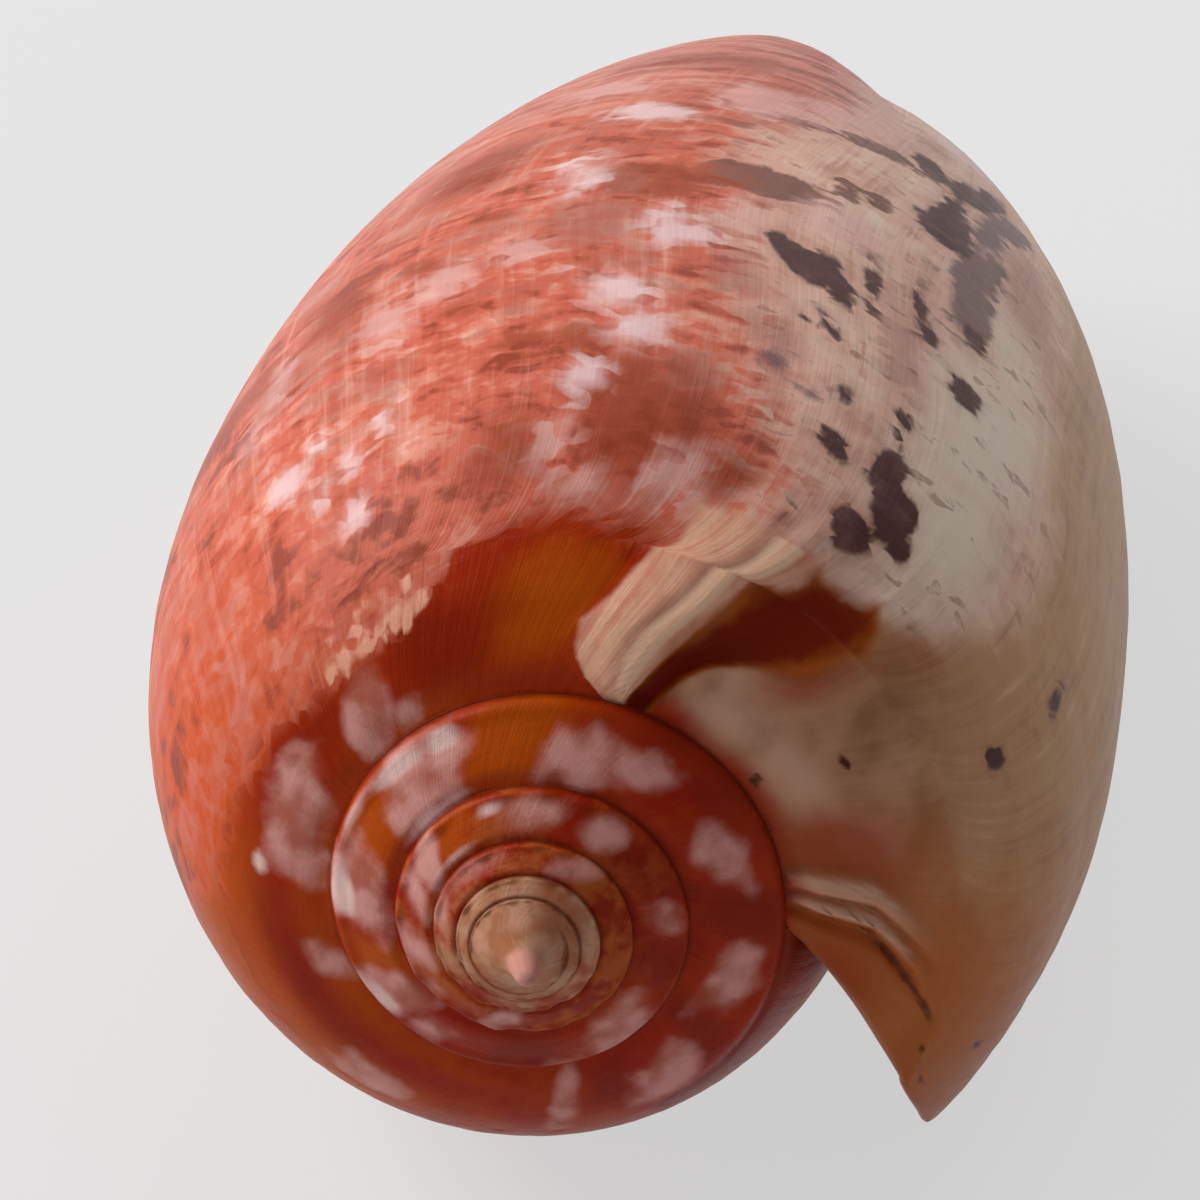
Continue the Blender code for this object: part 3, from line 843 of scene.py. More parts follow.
# Pale slivers along the edge of the coral, and the broad shades of the ramps.
FLAKES = (
    (0.388, 0.396, -0.30, -0.16), (0.396, 0.402, -0.36, -0.22), (0.403, 0.411, -0.37, -0.24),
    (0.412, 0.417, -0.38, -0.28), (0.418, 0.432, -0.39, -0.24), (0.434, 0.441, -0.41, -0.22),
    (0.443, 0.452, -0.41, -0.30), (0.398, 0.404, -0.14, -0.02), (0.424, 0.430, -0.20, -0.08),
)
ORANGE = (
    (0.560, 0.800, -0.40, 0.08), (1.300, 1.384, -0.95, 0.0), (1.462, 1.534, -0.85, -0.06),
    (1.608, 1.650, -0.95, -0.20), (2.400, 2.462, -0.80, 0.0), (2.640, 2.720, -1.00, -0.30),
    (0.300, 0.350, -0.75, -0.10), (0.470, 0.545, -1.00, -0.85), (0.580, 0.720, -1.00, -0.75),
    (0.372, 0.412, -1.00, -0.85), (0.180, 0.235, -0.62, -0.50), (0.195, 0.240, -0.08, 0.03),
)
DEEP = (
    (0.345, 0.410, -0.80, -0.30), (0.447, 0.525, -0.66, -0.38), (0.868, 0.898, -0.85, -0.34),
    (0.955, 0.985, -0.95, 0.0), (1.050, 1.100, -0.95, 0.0), (1.150, 1.204, -0.38, 0.0),
    (1.206, 1.260, -0.32, 0.0), (1.780, 1.870, -0.95, 0.0), (2.000, 2.060, -0.95, 0.0),
    (2.120, 2.200, -0.95, 0.0), (2.230, 2.290, -0.50, 0.0), (2.840, 3.150, -0.95, -0.05),
    (0.590, 0.700, -0.72, -0.35),
)
RUSTY = (
    (0.080, 0.120, -0.98, -0.30), (0.000, 0.046, -0.92, -0.45), (0.150, 0.240, -1.00, -0.93),
    (0.188, 0.212, -0.45, 0.01),
)
TAUPE_PALE = (
    (0.170, 0.218, -0.94, -0.60), (0.122, 0.170, -0.89, -0.62), (0.090, 0.118, -0.62, -0.30),
    (0.112, 0.128, -0.80, -0.55), (0.200, 0.222, -0.62, -0.42),
)
DARK_SPOTS = (
    (0.146, 0.154, -0.94, -0.88, 0.1), (0.1445, 0.152, -0.44, -0.385, 0.1), (0.0135, 0.017, -0.06, 0.006),
    (0.0165, 0.0185, -0.19, -0.14), (0.034, 0.0375, 0.043, 0.056),
)
PATCH_SETS = {
    "purple": PURPLE, "mauve": MAUVE, "mauve_veil": MAUVE_VEIL, "brown": BROWN, "russet": RUSSET,
    "white": WHITE, "pale_veil": PALE_VEIL, "grey_white": GREY_WHITE, "lilac": LILAC, "bright": BRIGHT,
    "flakes": FLAKES, "orange": ORANGE, "deep": DEEP, "rusty": RUSTY, "taupe_pale": TAUPE_PALE,
    "dark_spots": DARK_SPOTS,
}


def patch_field(streak, across, turns, patches):
    """Distance to the nearest patch's edge, in mm: positive inside a patch."""
    size = growth(np.clip(turns, 0, WHORLS))
    field = np.full(len(streak), -FIELD_REACH)
    for young, old, top, bottom, *lean in patches:
        middle = (top + bottom) / 2
        scale = np.where(across < 0, MM_RAMP * size, MM_BODY) if middle < 0 else MM_BODY
        offset = across - middle
        along = (streak - (young + old) / 2 - sum(lean) * offset) * MM_PER_TURN * size
        half_along = (old - young) / 2 * MM_PER_TURN * size
        half_across = (bottom - top) / 2 * scale
        reach = (np.abs(along) / half_along) ** PATCH_SQUARENESS
        reach = reach + (np.abs(offset * scale) / half_across) ** PATCH_SQUARENESS
        edge = (1 - reach ** (1 / PATCH_SQUARENESS)) * np.minimum(half_along, half_across)
        field = np.maximum(field, edge)
    return np.clip(field, -FIELD_REACH, FIELD_REACH)


# ---- Zones, as distances in mm from their borders ----

RAMP_BORDER = (
    (0.0, 0.0), (0.285, 0.0), (0.300, 0.004), (0.321, 0.012), (0.345, 0.020), (0.364, 0.014),
    (0.377, 0.0), (0.381, -0.13), (0.395, -0.275), (0.413, -0.355), (0.440, -0.39), (0.472, -0.355),
    (0.499, -0.285), (0.537, -0.205), (0.575, -0.14), (0.615, 0.0), (0.66, 0.05), (1.0, 0.06),
)
CREAM_BORDER = (
    (0.0, 0.285), (0.06, 0.280), (0.12, 0.298), (0.20, 0.308), (0.35, 0.311), (0.43, 0.322),
    (0.52, 0.315), (0.60, 0.304), (0.70, 0.312), (1.0, 0.32),
)
TAN_BORDER = (
    (0.0, 0.2475), (0.02, 0.222), (0.05, 0.196), (0.10, 0.182), (0.20, 0.180), (0.36, 0.184), (0.50, 0.186),
    (0.62, 0.196), (1.0, 0.20),
)
TAN_FADING = 0.35
TAUPE_TOP = (
    (0.0, -0.97), (0.10, -0.955), (0.13, -0.905), (0.16, -0.90), (0.19, -0.98), (0.23, -0.84), (0.245, -1.0),
)
# Places across the rib where its crests get a painted highlight.
RIB_LINES = (0.22, 0.37)
CREVICE_OFFSET = -0.0055
CREVICE_HALF_WIDTH = 0.0022
CREVICE_ACROSS = (-0.50, -0.03)
CREST_SPREAD = 0.07
SCAR_LAST_TURN = 0.7
OLD_LIP_LAST_TURN = 0.5
FOLDS_END = -0.22
FOLDS_END_FADE = 0.25


def zone_fields(streak, across, turns):
    """The brown of the ramps, the cream side, the area behind the lip, the break and the old lip."""
    body = np.maximum(across, 0)
    on_ramp = across < 0
    taupe = np.minimum((CLIFF_LINE - streak) * MM_PER_TURN, (across - curve(TAUPE_TOP, streak)) * MM_RAMP)
    tan = (curve(TAN_BORDER, body) - streak) * MM_PER_TURN * TAN_FADING
    place = scar_place(streak, across)
    scar_end = np.where(turns < SCAR_LAST_TURN, (SCAR_COLOUR_END - across) * MM_BODY, -FIELD_REACH)
    crest = sum(bell(place, line, CREST_SPREAD) for line in RIB_LINES)
    by_lip = turns < OLD_LIP_LAST_TURN
    from_fold = streak - curve(OLD_LIP_LINE, across)
    crevice = (CREVICE_HALF_WIDTH - np.abs(from_fold - CREVICE_OFFSET)) * MM_PER_TURN
    for end, way in zip(CREVICE_ACROSS, (1, -1)):
        crevice = np.minimum(crevice, (across - end) * way * MM_RAMP)
    folds = sum(bell(from_fold, centre, spread) for height, centre, spread in OLD_LIP_FOLDS if height > 0)
    folds = folds * smooth((FOLDS_END - across) / FOLDS_END_FADE)
    to_shoulder = np.where(turns > SPIRE_FROM_TURN, np.abs(across), 1)
    to_suture = np.minimum(np.abs(across + 1), to_shoulder)
    distances = {
        "ramp": across_to_mm(curve(RAMP_BORDER, streak)) - across_to_mm(across),
        "cream": (curve(CREAM_BORDER, body) - streak) * MM_PER_TURN,
        "lip_side": np.where(on_ramp, taupe, tan),
        "rib": np.minimum((1 - np.abs(2 * place - 1)) * RIB_HALF_MM, scar_end),
        "hollow": np.minimum((1 - np.abs(2 * place + 1)) * HOLLOW_HALF_MM, scar_end),
        "crevice": np.where(by_lip, crevice, -FIELD_REACH),
        "suture": to_suture * MM_RAMP * growth(np.clip(turns, 0, WHORLS)),
    }
    fields = {name: np.clip(field, -FIELD_REACH, FIELD_REACH) for name, field in distances.items()}
    fields["crest"] = np.where(scar_end > 0, crest, 0)
    fields["folds"] = np.where(by_lip & on_ramp, folds, 0)
    fields["turns"] = turns
    return fields


def set_attribute(mesh, name, values):
    attribute = mesh.attributes.new(name, "FLOAT", "POINT")
    attribute.data.foreach_set("value", np.asarray(values, dtype=np.float32))


def mark(mesh, shell):
    """Stores each vertex's place on the shell and its distance to every marking."""
    streak = np.array(shell.lines)
    across = np.array(shell.across)
    turns = np.array(shell.turns)
    set_attribute(mesh, "line_mm", streak * MM_PER_TURN)
    set_attribute(mesh, "across_mm", across_to_mm(across))
    set_attribute(mesh, "inside", shell.inside)
    for name, field in zone_fields(streak, across, turns).items():
        set_attribute(mesh, name, field)
    for name, patches in PATCH_SETS.items():
        set_attribute(mesh, name, patch_field(streak, across, turns, patches))


def place_on_ground(mesh):
    """Turns the shell onto its aperture, over the same spot as the solid."""
    roll = Matrix.Rotation(math.radians(REST_ROLL), 4, "Z")
    spire_back = Matrix.Rotation(math.radians(90 + REST_PITCH), 4, "X")
    mesh.transform(spire_back @ roll)
    points = np.array([vertex.co for vertex in mesh.vertices])
    low = points.min(axis=0)
    high = points.max(axis=0)
    cad_low, cad_high = (np.array(corner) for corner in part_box("shell"))
    shift = (cad_low + cad_high - low - high) / 2
    shift[2] = cad_low[2] - low[2]
    mesh.transform(Matrix.Translation(shift))


# ---- Material ----

def srgb(red, green, blue):
    """A colour from its display values, 0 to 255, as the linear values that shaders use."""
    scaled = [channel / 255 for channel in (red, green, blue)]
    linear = [c / 12.92 if c <= 0.04045 else ((c + 0.055) / 1.055) ** 2.4 for c in scaled]
    return (*linear, 1.0)


# Coral: its salmon-pinks are partly the shell's own colour and partly painted sheen.
CORAL_DEEP = srgb(160, 72, 52)
CORAL = srgb(212, 106, 82)
CORAL_LIGHT = srgb(226, 142, 120)
CORAL_PALE = srgb(244, 184, 164)
CORAL_BROWN = srgb(160, 72, 44)
CORAL_ORANGE = srgb(208, 82, 28)
CORAL_RUSSET = srgb(150, 60, 34)
CORAL_MAUVE = srgb(176, 96, 82)
DASH_BROWN = srgb(150, 98, 84)
SALMON_PINK = srgb(238, 170, 152)
LILAC_WHITE = srgb(242, 208, 206)
PALE_LILAC = srgb(232, 180, 172)
CREAM_DARK = srgb(190, 138, 114)
CREAM = srgb(246, 206, 182)
CREAM_LIGHT = srgb(250, 224, 200)
PINK_CREAM = srgb(222, 166, 146)
GREYISH_WHITE = srgb(242, 222, 202)
CREAM_BROWN = srgb(118, 68, 54)
TAN_DARK = srgb(168, 120, 80)
TAN = srgb(196, 148, 106)
TAN_LIGHT = srgb(218, 176, 136)
TAUPE_DARK = srgb(150, 102, 70)
TAUPE = srgb(192, 140, 108)
# Pale taupe, used for the pale patches and for the painted highlights on the old lip's folds.
PALE_TAUPE_AND_FOLD_HIGHLIGHT = srgb(218, 168, 140)
RUST = srgb(190, 95, 26)
RUST_RED = srgb(164, 56, 10)
RAMP_RED = srgb(160, 30, 0)
RAMP_BROWN = srgb(172, 50, 0)
RAMP_ORANGE = srgb(192, 82, 0)
RAMP_DEEP = srgb(138, 28, 0)
# Painted shade, darkening the grooves along the sutures.
SUTURE_SHADE = srgb(96, 22, 0)
EARLY_BROWN = srgb(186, 92, 36)
EARLY_TAN = srgb(180, 112, 76)
EARLY_BEIGE = srgb(206, 152, 122)
LILAC_SHADE = srgb(186, 106, 88)
LILAC_PINK = srgb(228, 164, 154)
BRIGHT_PINK = srgb(246, 208, 198)
FLAKE_PALE = srgb(250, 180, 148)
RIB_PINK = srgb(208, 134, 110)
RIB_CREAM = srgb(230, 174, 144)
# Painted highlight on the rib's crests.
RIB_CREST_HIGHLIGHT = srgb(250, 202, 168)
HOLLOW_RED = srgb(130, 32, 2)
HOLLOW_ORANGE = srgb(170, 82, 16)
# Near-black: the colour of the small dark spots, and painted shade in the old lip's crevice.
DARK_SPOT_AND_CREVICE_SHADE = srgb(84, 34, 16)
PURPLE_DARK = srgb(82, 48, 48)
PURPLE_BROWN = srgb(112, 72, 68)
MAUVE_GREY = srgb(122, 94, 96)
MAUVE_PALE = srgb(172, 110, 98)
MAUVE_RED = srgb(164, 92, 84)
NUCLEUS_PINK = srgb(222, 154, 138)
INSIDE_WHITE = srgb(244, 232, 216)
INSIDE_FLUSH = srgb(240, 190, 156)

GLOSS = 0.11
ROUGHNESS = 0.40
RELIEF_DEPTH = 0.00005
CELL_SMOOTHNESS = 0.35

# Noises that are the same in all directions: their scale, detail and roughness.
EVEN_NOISES = {
    "grain": (5200.0, 2.0, 0.6), "speckle": (1600.0, 3.0, 0.6), "mottle": (750.0, 3.0, 0.6),
    "blur": (650.0, 1.0, 0.55), "cloud": (280.0, 4.0, 0.6),
}
# What makes a zone's edge uneven; the edges that aren't named are ragged, along the streaks.
EDGES = {"cream": "flecked"}
for cloudy_zone in (
    "lip_side", "rib", "hollow", "grey_white", "orange", "deep", "taupe_pale", "rusty", "lilac", "bright",
):
    EDGES[cloudy_zone] = "cloudy"


class Graph:
    """Short forms for building a node tree."""

    def __init__(self, material):
        material.use_nodes = True
        self.tree = material.node_tree
        self.surface = self.tree.nodes["Principled BSDF"]

    def link(self, value, socket):
        if isinstance(value, bpy.types.NodeSocket):
            self.tree.links.new(value, socket)
        else:
            socket.default_value = value

    def node(self, kind, inputs, **settings):
        """Adds a node, links or sets its inputs by name or number, and returns its outputs."""
        node = self.tree.nodes.new(kind)
        for name, value in settings.items():
            setattr(node, name, value)
        for socket, value in inputs.items():
            self.link(value, node.inputs[socket])
        return node.outputs

    def attribute(self, name):
        return self.node("ShaderNodeAttribute", {}, attribute_name=name)["Fac"]

    def math(self, operation, first, second):
        return self.node("ShaderNodeMath", {0: first, 1: second}, operation=operation)[0]

    def scaled(self, value, factor):
        return self.math("MULTIPLY", value, factor)

    def sum(self, *terms):
        """Adds up (weight, value) pairs."""
        total = None
        for weight, value in terms:
            part = self.scaled(value, weight)
            total = part if total is None else self.math("ADD", total, part)
        return total

    def plane(self, line, line_scale, across, across_scale):
        """A place on the unrolled shell; a larger scale makes a noise narrower that way."""
        inputs = {0: self.scaled(line, line_scale), 1: self.scaled(across, across_scale)}
        return self.node("ShaderNodeCombineXYZ", inputs)[0]

    def noise(self, vector, scale, detail, roughness=0.55):
        """Noise centred on zero, between about -0.5 and 0.5."""
        inputs = {"Vector": vector, "Scale": scale, "Detail": detail, "Roughness": roughness}
        return self.math("SUBTRACT", self.node("ShaderNodeTexNoise", inputs)["Fac"], 0.5)

    def cells(self, vector):
        """A random value for each cell of a soft mosaic, centred on zero."""
        inputs = {"Vector": vector, "Scale": 1.0, "Smoothness": CELL_SMOOTHNESS}
        settings = {"voronoi_dimensions": "2D", "feature": "SMOOTH_F1"}
        mosaic = self.node("ShaderNodeTexVoronoi", inputs, **settings)["Color"]
        return self.math("SUBTRACT", self.node("ShaderNodeSeparateColor", {0: mosaic})[0], 0.5)

    def step(self, value, low, high):
        """Rises smoothly from 0 at low to 1 at high."""
        inputs = {"Value": value, "From Min": low, "From Max": high}
        return self.node("ShaderNodeMapRange", inputs, interpolation_type="SMOOTHSTEP")[0]

    def mix(self, share, first, second):
        return self.node("ShaderNodeMix", {0: share, 6: first, 7: second}, data_type="RGBA")[2]

    def tint(self, colour, share, strength, shade):
        """Mixes a shade in; its strength caps its share."""
        return self.mix(self.scaled(share, strength), colour, shade)


class Glaze:
    """The shell's surface: one graph, with the noises that all its zones share."""

    def __init__(self, material):
        self.g = g = Graph(material)
        line = g.attribute("line_mm")
        across = g.attribute("across_mm")
        place = g.node("ShaderNodeTexCoord", {})["Object"]
        bent_line = g.sum((1.0, line), (1.8, g.noise(place, 420.0, 2.0)))
        bent_across = g.sum((1.0, across), (1.4, g.noise(place, 510.0, 2.0)))
        self.fields = {name: g.noise(place, *settings) for name, settings in EVEN_NOISES.items()}
        self.fields.update(
            line=line,
            across=across,
            streaks=g.noise(g.plane(line, 1.9, bent_across, 0.11), 1.0, 4.0),
            fine=g.noise(g.plane(line, 7.0, across, 0.30), 1.0, 3.0),
            bands=g.noise(g.plane(bent_line, 0.16, bent_across, 1.15), 1.0, 4.0, 0.6),
            mosaic=g.cells(g.plane(bent_line, 0.55, bent_across, 0.85)),
            chips=g.cells(g.plane(bent_line, 1.3, bent_across, 2.1)),
        )
        patchy = dict(mosaic=0.16, chips=0.14, cloud=0.80, mottle=0.35)
        self.fields["flecks"] = self.blend(**patchy, bands=0.60, speckle=0.30, streaks=0.25)
        self.fields["ragged"] = self.blend(speckle=0.3, streaks=0.5, chips=0.5, mottle=0.6)
        self.fields["cloudy"] = self.blend(cloud=0.5, blur=0.8, speckle=0.3)
        self.fields["flecked"] = self.blend(flecks=1.0, bands=0.6, chips=0.5)

    def field(self, name):
        """A shared noise, or else an attribute of the mesh."""
        if name not in self.fields:
            self.fields[name] = self.g.attribute(name)
        return self.fields[name]

    def blend(self, **weights):
        """The weighted sum of fields, by their names."""
        return self.g.sum(*((weight, self.field(name)) for name, weight in weights.items()))

    def step(self, low, high, **weights):
        """Rises from 0 to 1 as the weighted sum of fields goes from low to high."""
        return self.g.step(self.blend(**weights), low, high)

    def mask(self, zone, softness, unevenness):
        """How far a point is inside a zone or a set of patches; the edge's widths are in mm."""
        edge = self.g.scaled(self.field(EDGES.get(zone, "ragged")), unevenness)
        return self.g.step(self.g.math("ADD", self.field(zone), edge), -softness, softness)

    def paint(self, colour, *layers):
        """Paints layers in turn: the zone, its edge's softness and unevenness, strength and shade."""
        for zone, softness, unevenness, strength, shade in layers:
            colour = self.g.tint(colour, self.mask(zone, softness, unevenness), strength, shade)
        return colour

    def shades(self, tone, *colours):
        """Runs through (level, colour) pairs as the tone rises past each level."""
        (low, colour), *rest = colours
        for level, lighter in rest:
            colour = self.g.mix(self.g.step(tone, low, level), colour, lighter)
            low = level
        return colour

    def coral(self):
        """Coral flecks, duller in places, orange on the older part and paler near the base."""
        # The coral's salmon-pink is partly the shell's own colour and partly painted sheen.
        flecks = self.field("flecks")
        levels = ((-0.24, CORAL_DEEP), (-0.03, CORAL), (0.12, CORAL_LIGHT), (0.27, CORAL_PALE))
        orange = self.shades(flecks, (-0.22, CORAL_RUSSET), (-0.02, CORAL_ORANGE), (0.24, CORAL))
        pale = self.shades(self.field("bands"), (-0.16, CORAL_BROWN), (0.14, SALMON_PINK))
        dull = self.step(0.0, 0.16, cloud=1.0, bands=0.5, across=0.002)
        # Painted highlights: pale streaks along the growth lines.
        growth_line_highlights = self.step(0.04, 0.30, streaks=1.0, fine=0.5, cloud=0.4)
        older = self.step(38.0, 58.0, line=1.0, across=-0.9, cloud=9.0)
        far = self.step(22.0, 34.0, across=1.0, bands=26.0)
        colour = self.g.tint(self.shades(flecks, *levels), dull, 0.6, CORAL_MAUVE)
        colour = self.g.tint(colour, growth_line_highlights, 0.38, CORAL_PALE)
        colour = self.g.tint(colour, older, 0.9, orange)
        colour = self.g.tint(colour, far, 0.4, pale)
        return self.paint(
            colour, ("russet", 0.9, 1.6, 0.75, CORAL_RUSSET), ("brown", 0.30, 0.9, 0.72, CORAL_BROWN),
        )

    def cream(self):
        tone = self.blend(flecks=0.9, streaks=0.7, fine=0.5)
        colour = self.shades(tone, (-0.30, CREAM_DARK), (0.02, CREAM), (0.30, CREAM_LIGHT))
        pinker = self.step(5.0, 1.0, cream=1.0, cloud=3.0, chips=1.5)
        dashes = self.step(0.17, 0.30, bands=1.0, chips=0.4, speckle=0.5)
        colour = self.g.tint(colour, pinker, 0.8, PINK_CREAM)
        colour = self.paint(colour, ("grey_white", 1.4, 1.6, 0.9, GREYISH_WHITE))
        colour = self.g.tint(colour, dashes, 0.55, DASH_BROWN)
        return self.paint(colour, ("brown", 0.18, 1.2, 0.85, CREAM_BROWN))

    def side(self):
        """The side of the shell: coral, and cream towards the lip."""
        return self.paint(
            self.coral(), ("cream", 1.5, 2.4, 1.0, self.cream()), ("pale_veil", 0.55, 1.3, 0.62, PALE_LILAC),
            ("mauve_veil", 0.6, 1.2, 0.55, MAUVE_PALE), ("white", 0.42, 1.0, 0.80, LILAC_WHITE),
        )

    def ramp(self):
        """The sloping top of each whorl: red-brown to orange, and tan on the first small whorls."""
        tone = self.blend(cloud=1.0, mottle=0.4, streaks=0.3)
        colour = self.paint(
            self.shades(tone, (-0.20, RAMP_RED), (0.18, RAMP_BROWN)),
            ("orange", 0.8, 1.2, 0.85, RAMP_ORANGE), ("deep", 0.8, 1.2, 0.85, RAMP_DEEP),
        )
        small = self.step(1.7, 2.6, turns=1.0)
        mottled = self.g.math("MULTIPLY", self.step(-0.06, 0.12, mottle=1.0), small)
        colour = self.g.tint(colour, mottled, 0.75, EARLY_BROWN)
        tone = self.blend(mottle=1.0, cloud=0.5)
        early = self.shades(tone, (-0.15, EARLY_TAN), (0.15, EARLY_BEIGE))
        return self.g.mix(self.step(3.3, 4.2, turns=1.0, mottle=1.6), colour, early)

    def behind_lip(self):
        """The area behind the lip: grey tan, browner on the ramp and rusty close to the edge."""
        tone = self.blend(streaks=0.6, cloud=0.6, fine=0.25)
        tan = self.shades(tone, (-0.25, TAN_DARK), (0.03, TAN), (0.30, TAN_LIGHT))
        tone = self.blend(streaks=0.2, cloud=0.8, blur=0.7, speckle=0.15)
        taupe = self.shades(tone, (-0.25, TAUPE_DARK), (0.2, TAUPE))
        taupe = self.paint(taupe, ("taupe_pale", 0.6, 1.2, 0.85, PALE_TAUPE_AND_FOLD_HIGHLIGHT))
        near_lip = self.step(15.0, 4.0, line=1.0, across=0.3, cloud=8.0)
        colour = self.g.mix(self.step(-2.2, 3.0, across=1.0, cloud=2.0), taupe, tan)
        colour = self.g.tint(colour, near_lip, 0.8, RUST)
        colour = self.paint(colour, ("rusty", 1.0, 1.6, 0.75, RUST_RED))
        # Painted highlight: the crests of the old lip's folds are lightened.
        return self.g.tint(colour, self.field("folds"), 0.75, PALE_TAUPE_AND_FOLD_HIGHLIGHT)

    def mended_break(self, colour):
        """The pink rib, with painted highlights on its crests, and the red hollow beside it."""
        tone = self.blend(streaks=1.0, cloud=0.8, mottle=0.5)
        rib = self.shades(tone, (-0.25, RIB_PINK), (0.20, RIB_CREAM))
        # Painted highlight: the rib's crests are lightened.
        rib = self.g.mix(self.step(0.3, 1.0, crest=1.0), rib, RIB_CREST_HIGHLIGHT)
        rim = self.step(0.9, 0.0, hollow=1.0, mottle=1.4)
        hollow = self.g.mix(rim, HOLLOW_RED, HOLLOW_ORANGE)
        return self.paint(colour, ("rib", 0.22, 0.5, 1.0, rib), ("hollow", 0.40, 1.6, 1.0, hollow))

    def blotches(self, colour):
        """The dark marks: mauve, purple with a brown rim, and small near-black spots."""
        mauve = self.g.mix(self.step(-1.0, 1.0, cream=1.0), MAUVE_RED, MAUVE_GREY)
        purple = self.g.mix(self.step(-0.05, 0.25, mottle=1.0), PURPLE_DARK, PURPLE_BROWN)
        return self.paint(
            colour, ("mauve", 0.22, 0.9, 0.88, mauve), ("purple", 0.6, 1.5, 0.55, DASH_BROWN),
            ("purple", 0.12, 0.55, 0.96, purple), ("dark_spots", 0.10, 0.25, 1.0, DARK_SPOT_AND_CREVICE_SHADE),
        )

    def colour(self):
        """All the zones, from the ground colours up."""
        tone = self.blend(mottle=0.5, speckle=0.2, blur=1.0)
        lilac = self.shades(tone, (-0.2, LILAC_SHADE), (0.12, LILAC_PINK))
        colour = self.paint(
            self.side(), ("ramp", 0.60, 1.5, 1.0, self.ramp()), ("lilac", 0.34, 1.3, 0.86, lilac),
            ("bright", 0.16, 0.35, 0.9, BRIGHT_PINK), ("flakes", 0.10, 0.5, 0.8, FLAKE_PALE),
            ("lip_side", 0.5, 0.9, 1.0, self.behind_lip()),
        )
        colour = self.blotches(self.mended_break(colour))
        # Painted shade: the crevice beside the old lip's folds is darkened.
        colour = self.paint(colour, ("crevice", 0.16, 0.3, 0.8, DARK_SPOT_AND_CREVICE_SHADE))
        # Painted shade: the sutures are darkened along their grooves.
        suture = self.step(0.15, 0.02, suture=1.0, mottle=0.25)
        first_shell = self.step(WHORLS + 0.38, WHORLS + 0.58, turns=1.0)
        colour = self.g.tint(colour, suture, 0.5, SUTURE_SHADE)
        colour = self.g.mix(first_shell, colour, NUCLEUS_PINK)
        inner = self.g.mix(self.step(3.0, 22.0, line=1.0, cloud=14.0), INSIDE_WHITE, INSIDE_FLUSH)
        return self.g.mix(self.field("inside"), colour, inner)

    def finish(self):
        """Links colour, gloss and fine relief to the shader."""
        gloss = self.blend(streaks=0.10, speckle=0.14, cloud=0.10)
        height = self.blend(fine=0.35, speckle=0.45, grain=0.12, streaks=0.4, bands=0.6)
        bump = self.g.node("ShaderNodeBump", {"Distance": RELIEF_DEPTH, "Height": height})
        inputs = {
            "Base Color": self.colour(),
            "Roughness": self.g.math("ADD", gloss, ROUGHNESS),
            "Specular IOR Level": GLOSS,
            "Normal": bump[0],
        }
        for name, value in inputs.items():
            self.g.link(value, self.g.surface.inputs[name])


def add_object(name, data):
    item = bpy.data.objects.new(name, data)
    bpy.context.scene.collection.objects.link(item)
    return item


def make_shell():
    shell = build_shell_mesh()
    mesh = bpy.data.meshes.new("shell_skin")
    mesh.from_pydata(shell.points, [], shell.faces)
    outside = bmesh.new()
    outside.from_mesh(mesh)
    bmesh.ops.recalc_face_normals(outside, faces=outside.faces)
    outside.to_mesh(mesh)
    outside.free()
    mark(mesh, shell)
    place_on_ground(mesh)
    mesh.shade_smooth()
    material = bpy.data.materials.new("shell_glaze")
    Glaze(material).finish()
    mesh.materials.append(material)
    piece = add_object("shell_skin", mesh)
    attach(piece, "root")
    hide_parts("shell")


# ---- Setting ----

FLOOR_SIZE = 3.0
FLOOR_SHADE = 0.62
FLOOR_ROUGHNESS = 0.9
FLOOR_GLOW = 0.85
FLOOR_GLOW_SHARE = 0.7
WORLD_LIGHT = 0.23
# Each lamp's place, size and power.
LAMPS = {"key": ((-0.36, 0.05, 0.34), 0.34, 2.45), "fill": ((0.18, 0.36, 0.30), 0.40, 0.6)}

CAMERA_AIM = (-0.00189, -0.00251, 0.01018)
CAMERA_DISTANCE = 0.34124
CAMERA_ELEVATION = 34.01
CAMERA_AZIMUTH = -6.50
CAMERA_ROLL = -4.39
CAMERA_LENS = 314.73
SENSOR = 36.0
CLIP_SHARES = (0.1, 20.0)


def floor_material():
    """Matt pale grey; what the camera sees is part glow, so that the shadow on it stays soft."""
    material = bpy.data.materials.new("floor")
    g = Graph(material)
    g.link((FLOOR_SHADE, FLOOR_SHADE, FLOOR_SHADE, 1.0), g.surface.inputs["Base Color"])
    g.link(FLOOR_ROUGHNESS, g.surface.inputs["Roughness"])
    glow = g.node("ShaderNodeEmission", {"Color": (FLOOR_GLOW, FLOOR_GLOW, FLOOR_GLOW, 1.0)})
    rays = g.node("ShaderNodeLightPath", {})
    seen = g.math("MAXIMUM", rays["Is Camera Ray"], rays["Is Glossy Ray"])
    share = g.scaled(g.math("MAXIMUM", seen, rays["Is Transmission Ray"]), FLOOR_GLOW_SHARE)
    blend = g.node("ShaderNodeMixShader", {0: share, 1: g.surface.outputs[0], 2: glow[0]})
    g.link(blend[0], g.tree.nodes["Material Output"].inputs["Surface"])
    return material


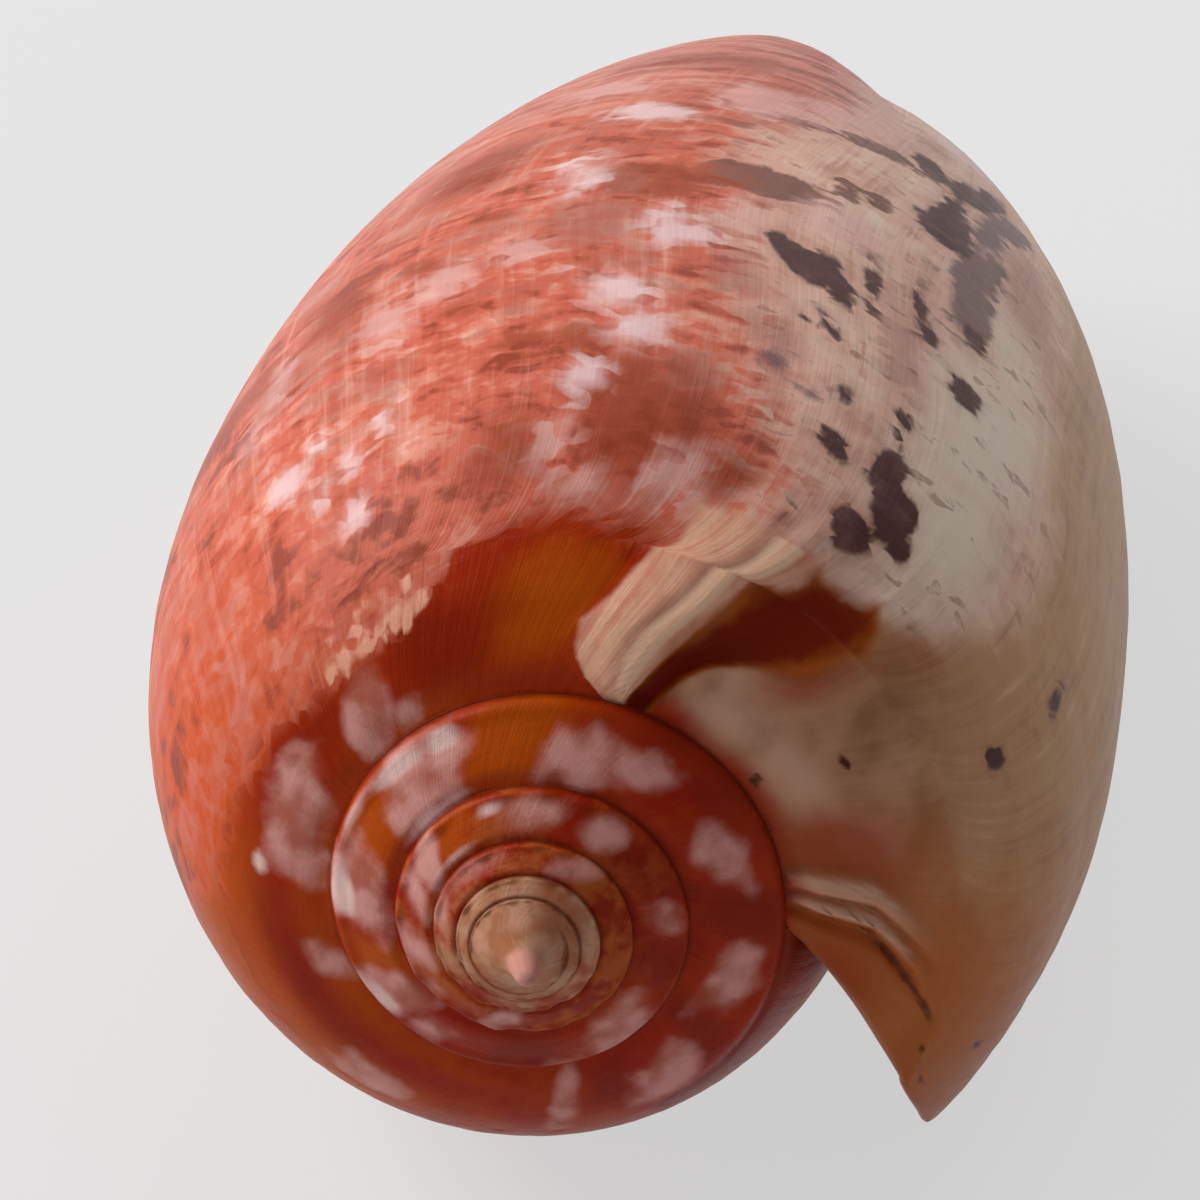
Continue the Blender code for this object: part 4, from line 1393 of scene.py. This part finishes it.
def make_floor():
    mesh = bpy.data.meshes.new("floor")
    half = FLOOR_SIZE / 2
    corners = [(-half, -half, 0), (half, -half, 0), (half, half, 0), (-half, half, 0)]
    mesh.from_pydata(corners, [], [(0, 1, 2, 3)])
    mesh.materials.append(floor_material())
    floor = add_object("floor", mesh)


def make_lamp(name, place, size, power):
    light = bpy.data.lights.new(name, "AREA")
    light.size = size
    light.energy = power
    lamp = add_object(name, light)
    lamp.location = place
    towards = Vector(CAMERA_AIM) - Vector(place)
    lamp.rotation_euler = towards.to_track_quat("-Z", "Y").to_euler()


def make_world():
    world = bpy.data.worlds.new("studio")
    world.use_nodes = True
    background = world.node_tree.nodes["Background"]
    background.inputs["Color"].default_value = (1.0, 1.0, 1.0, 1.0)
    background.inputs["Strength"].default_value = WORLD_LIGHT
    bpy.context.scene.world = world


def make_camera():
    azimuth = math.radians(CAMERA_AZIMUTH)
    elevation = math.radians(CAMERA_ELEVATION)
    level = math.cos(elevation)
    forward = Vector((math.sin(azimuth) * level, math.cos(azimuth) * level, -math.sin(elevation)))
    data = bpy.data.cameras.new("camera")
    data.lens = CAMERA_LENS
    data.sensor_width = SENSOR
    data.clip_start, data.clip_end = (CAMERA_DISTANCE * share for share in CLIP_SHARES)
    camera = add_object("camera", data)
    camera.location = Vector(CAMERA_AIM) - forward * CAMERA_DISTANCE
    facing = forward.to_track_quat("-Z", "Y").to_matrix().to_4x4()
    roll = Euler((0, 0, math.radians(CAMERA_ROLL))).to_matrix().to_4x4()
    camera.rotation_euler = (facing @ roll).to_euler()
    bpy.context.scene.camera = camera


def clear_leftovers():
    """Removes whatever the scene held before the frame was loaded."""
    ours = set(frame["nodes"].values()) | set(frame["bodies"].values())
    for item in [item for item in bpy.data.objects if item not in ours]:
        bpy.data.objects.remove(item)


clear_leftovers()
make_shell()
make_floor()
for lamp_name, lamp_settings in LAMPS.items():
    make_lamp(lamp_name, *lamp_settings)
make_world()
make_camera()
bpy.context.scene.view_settings.view_transform = "Standard"
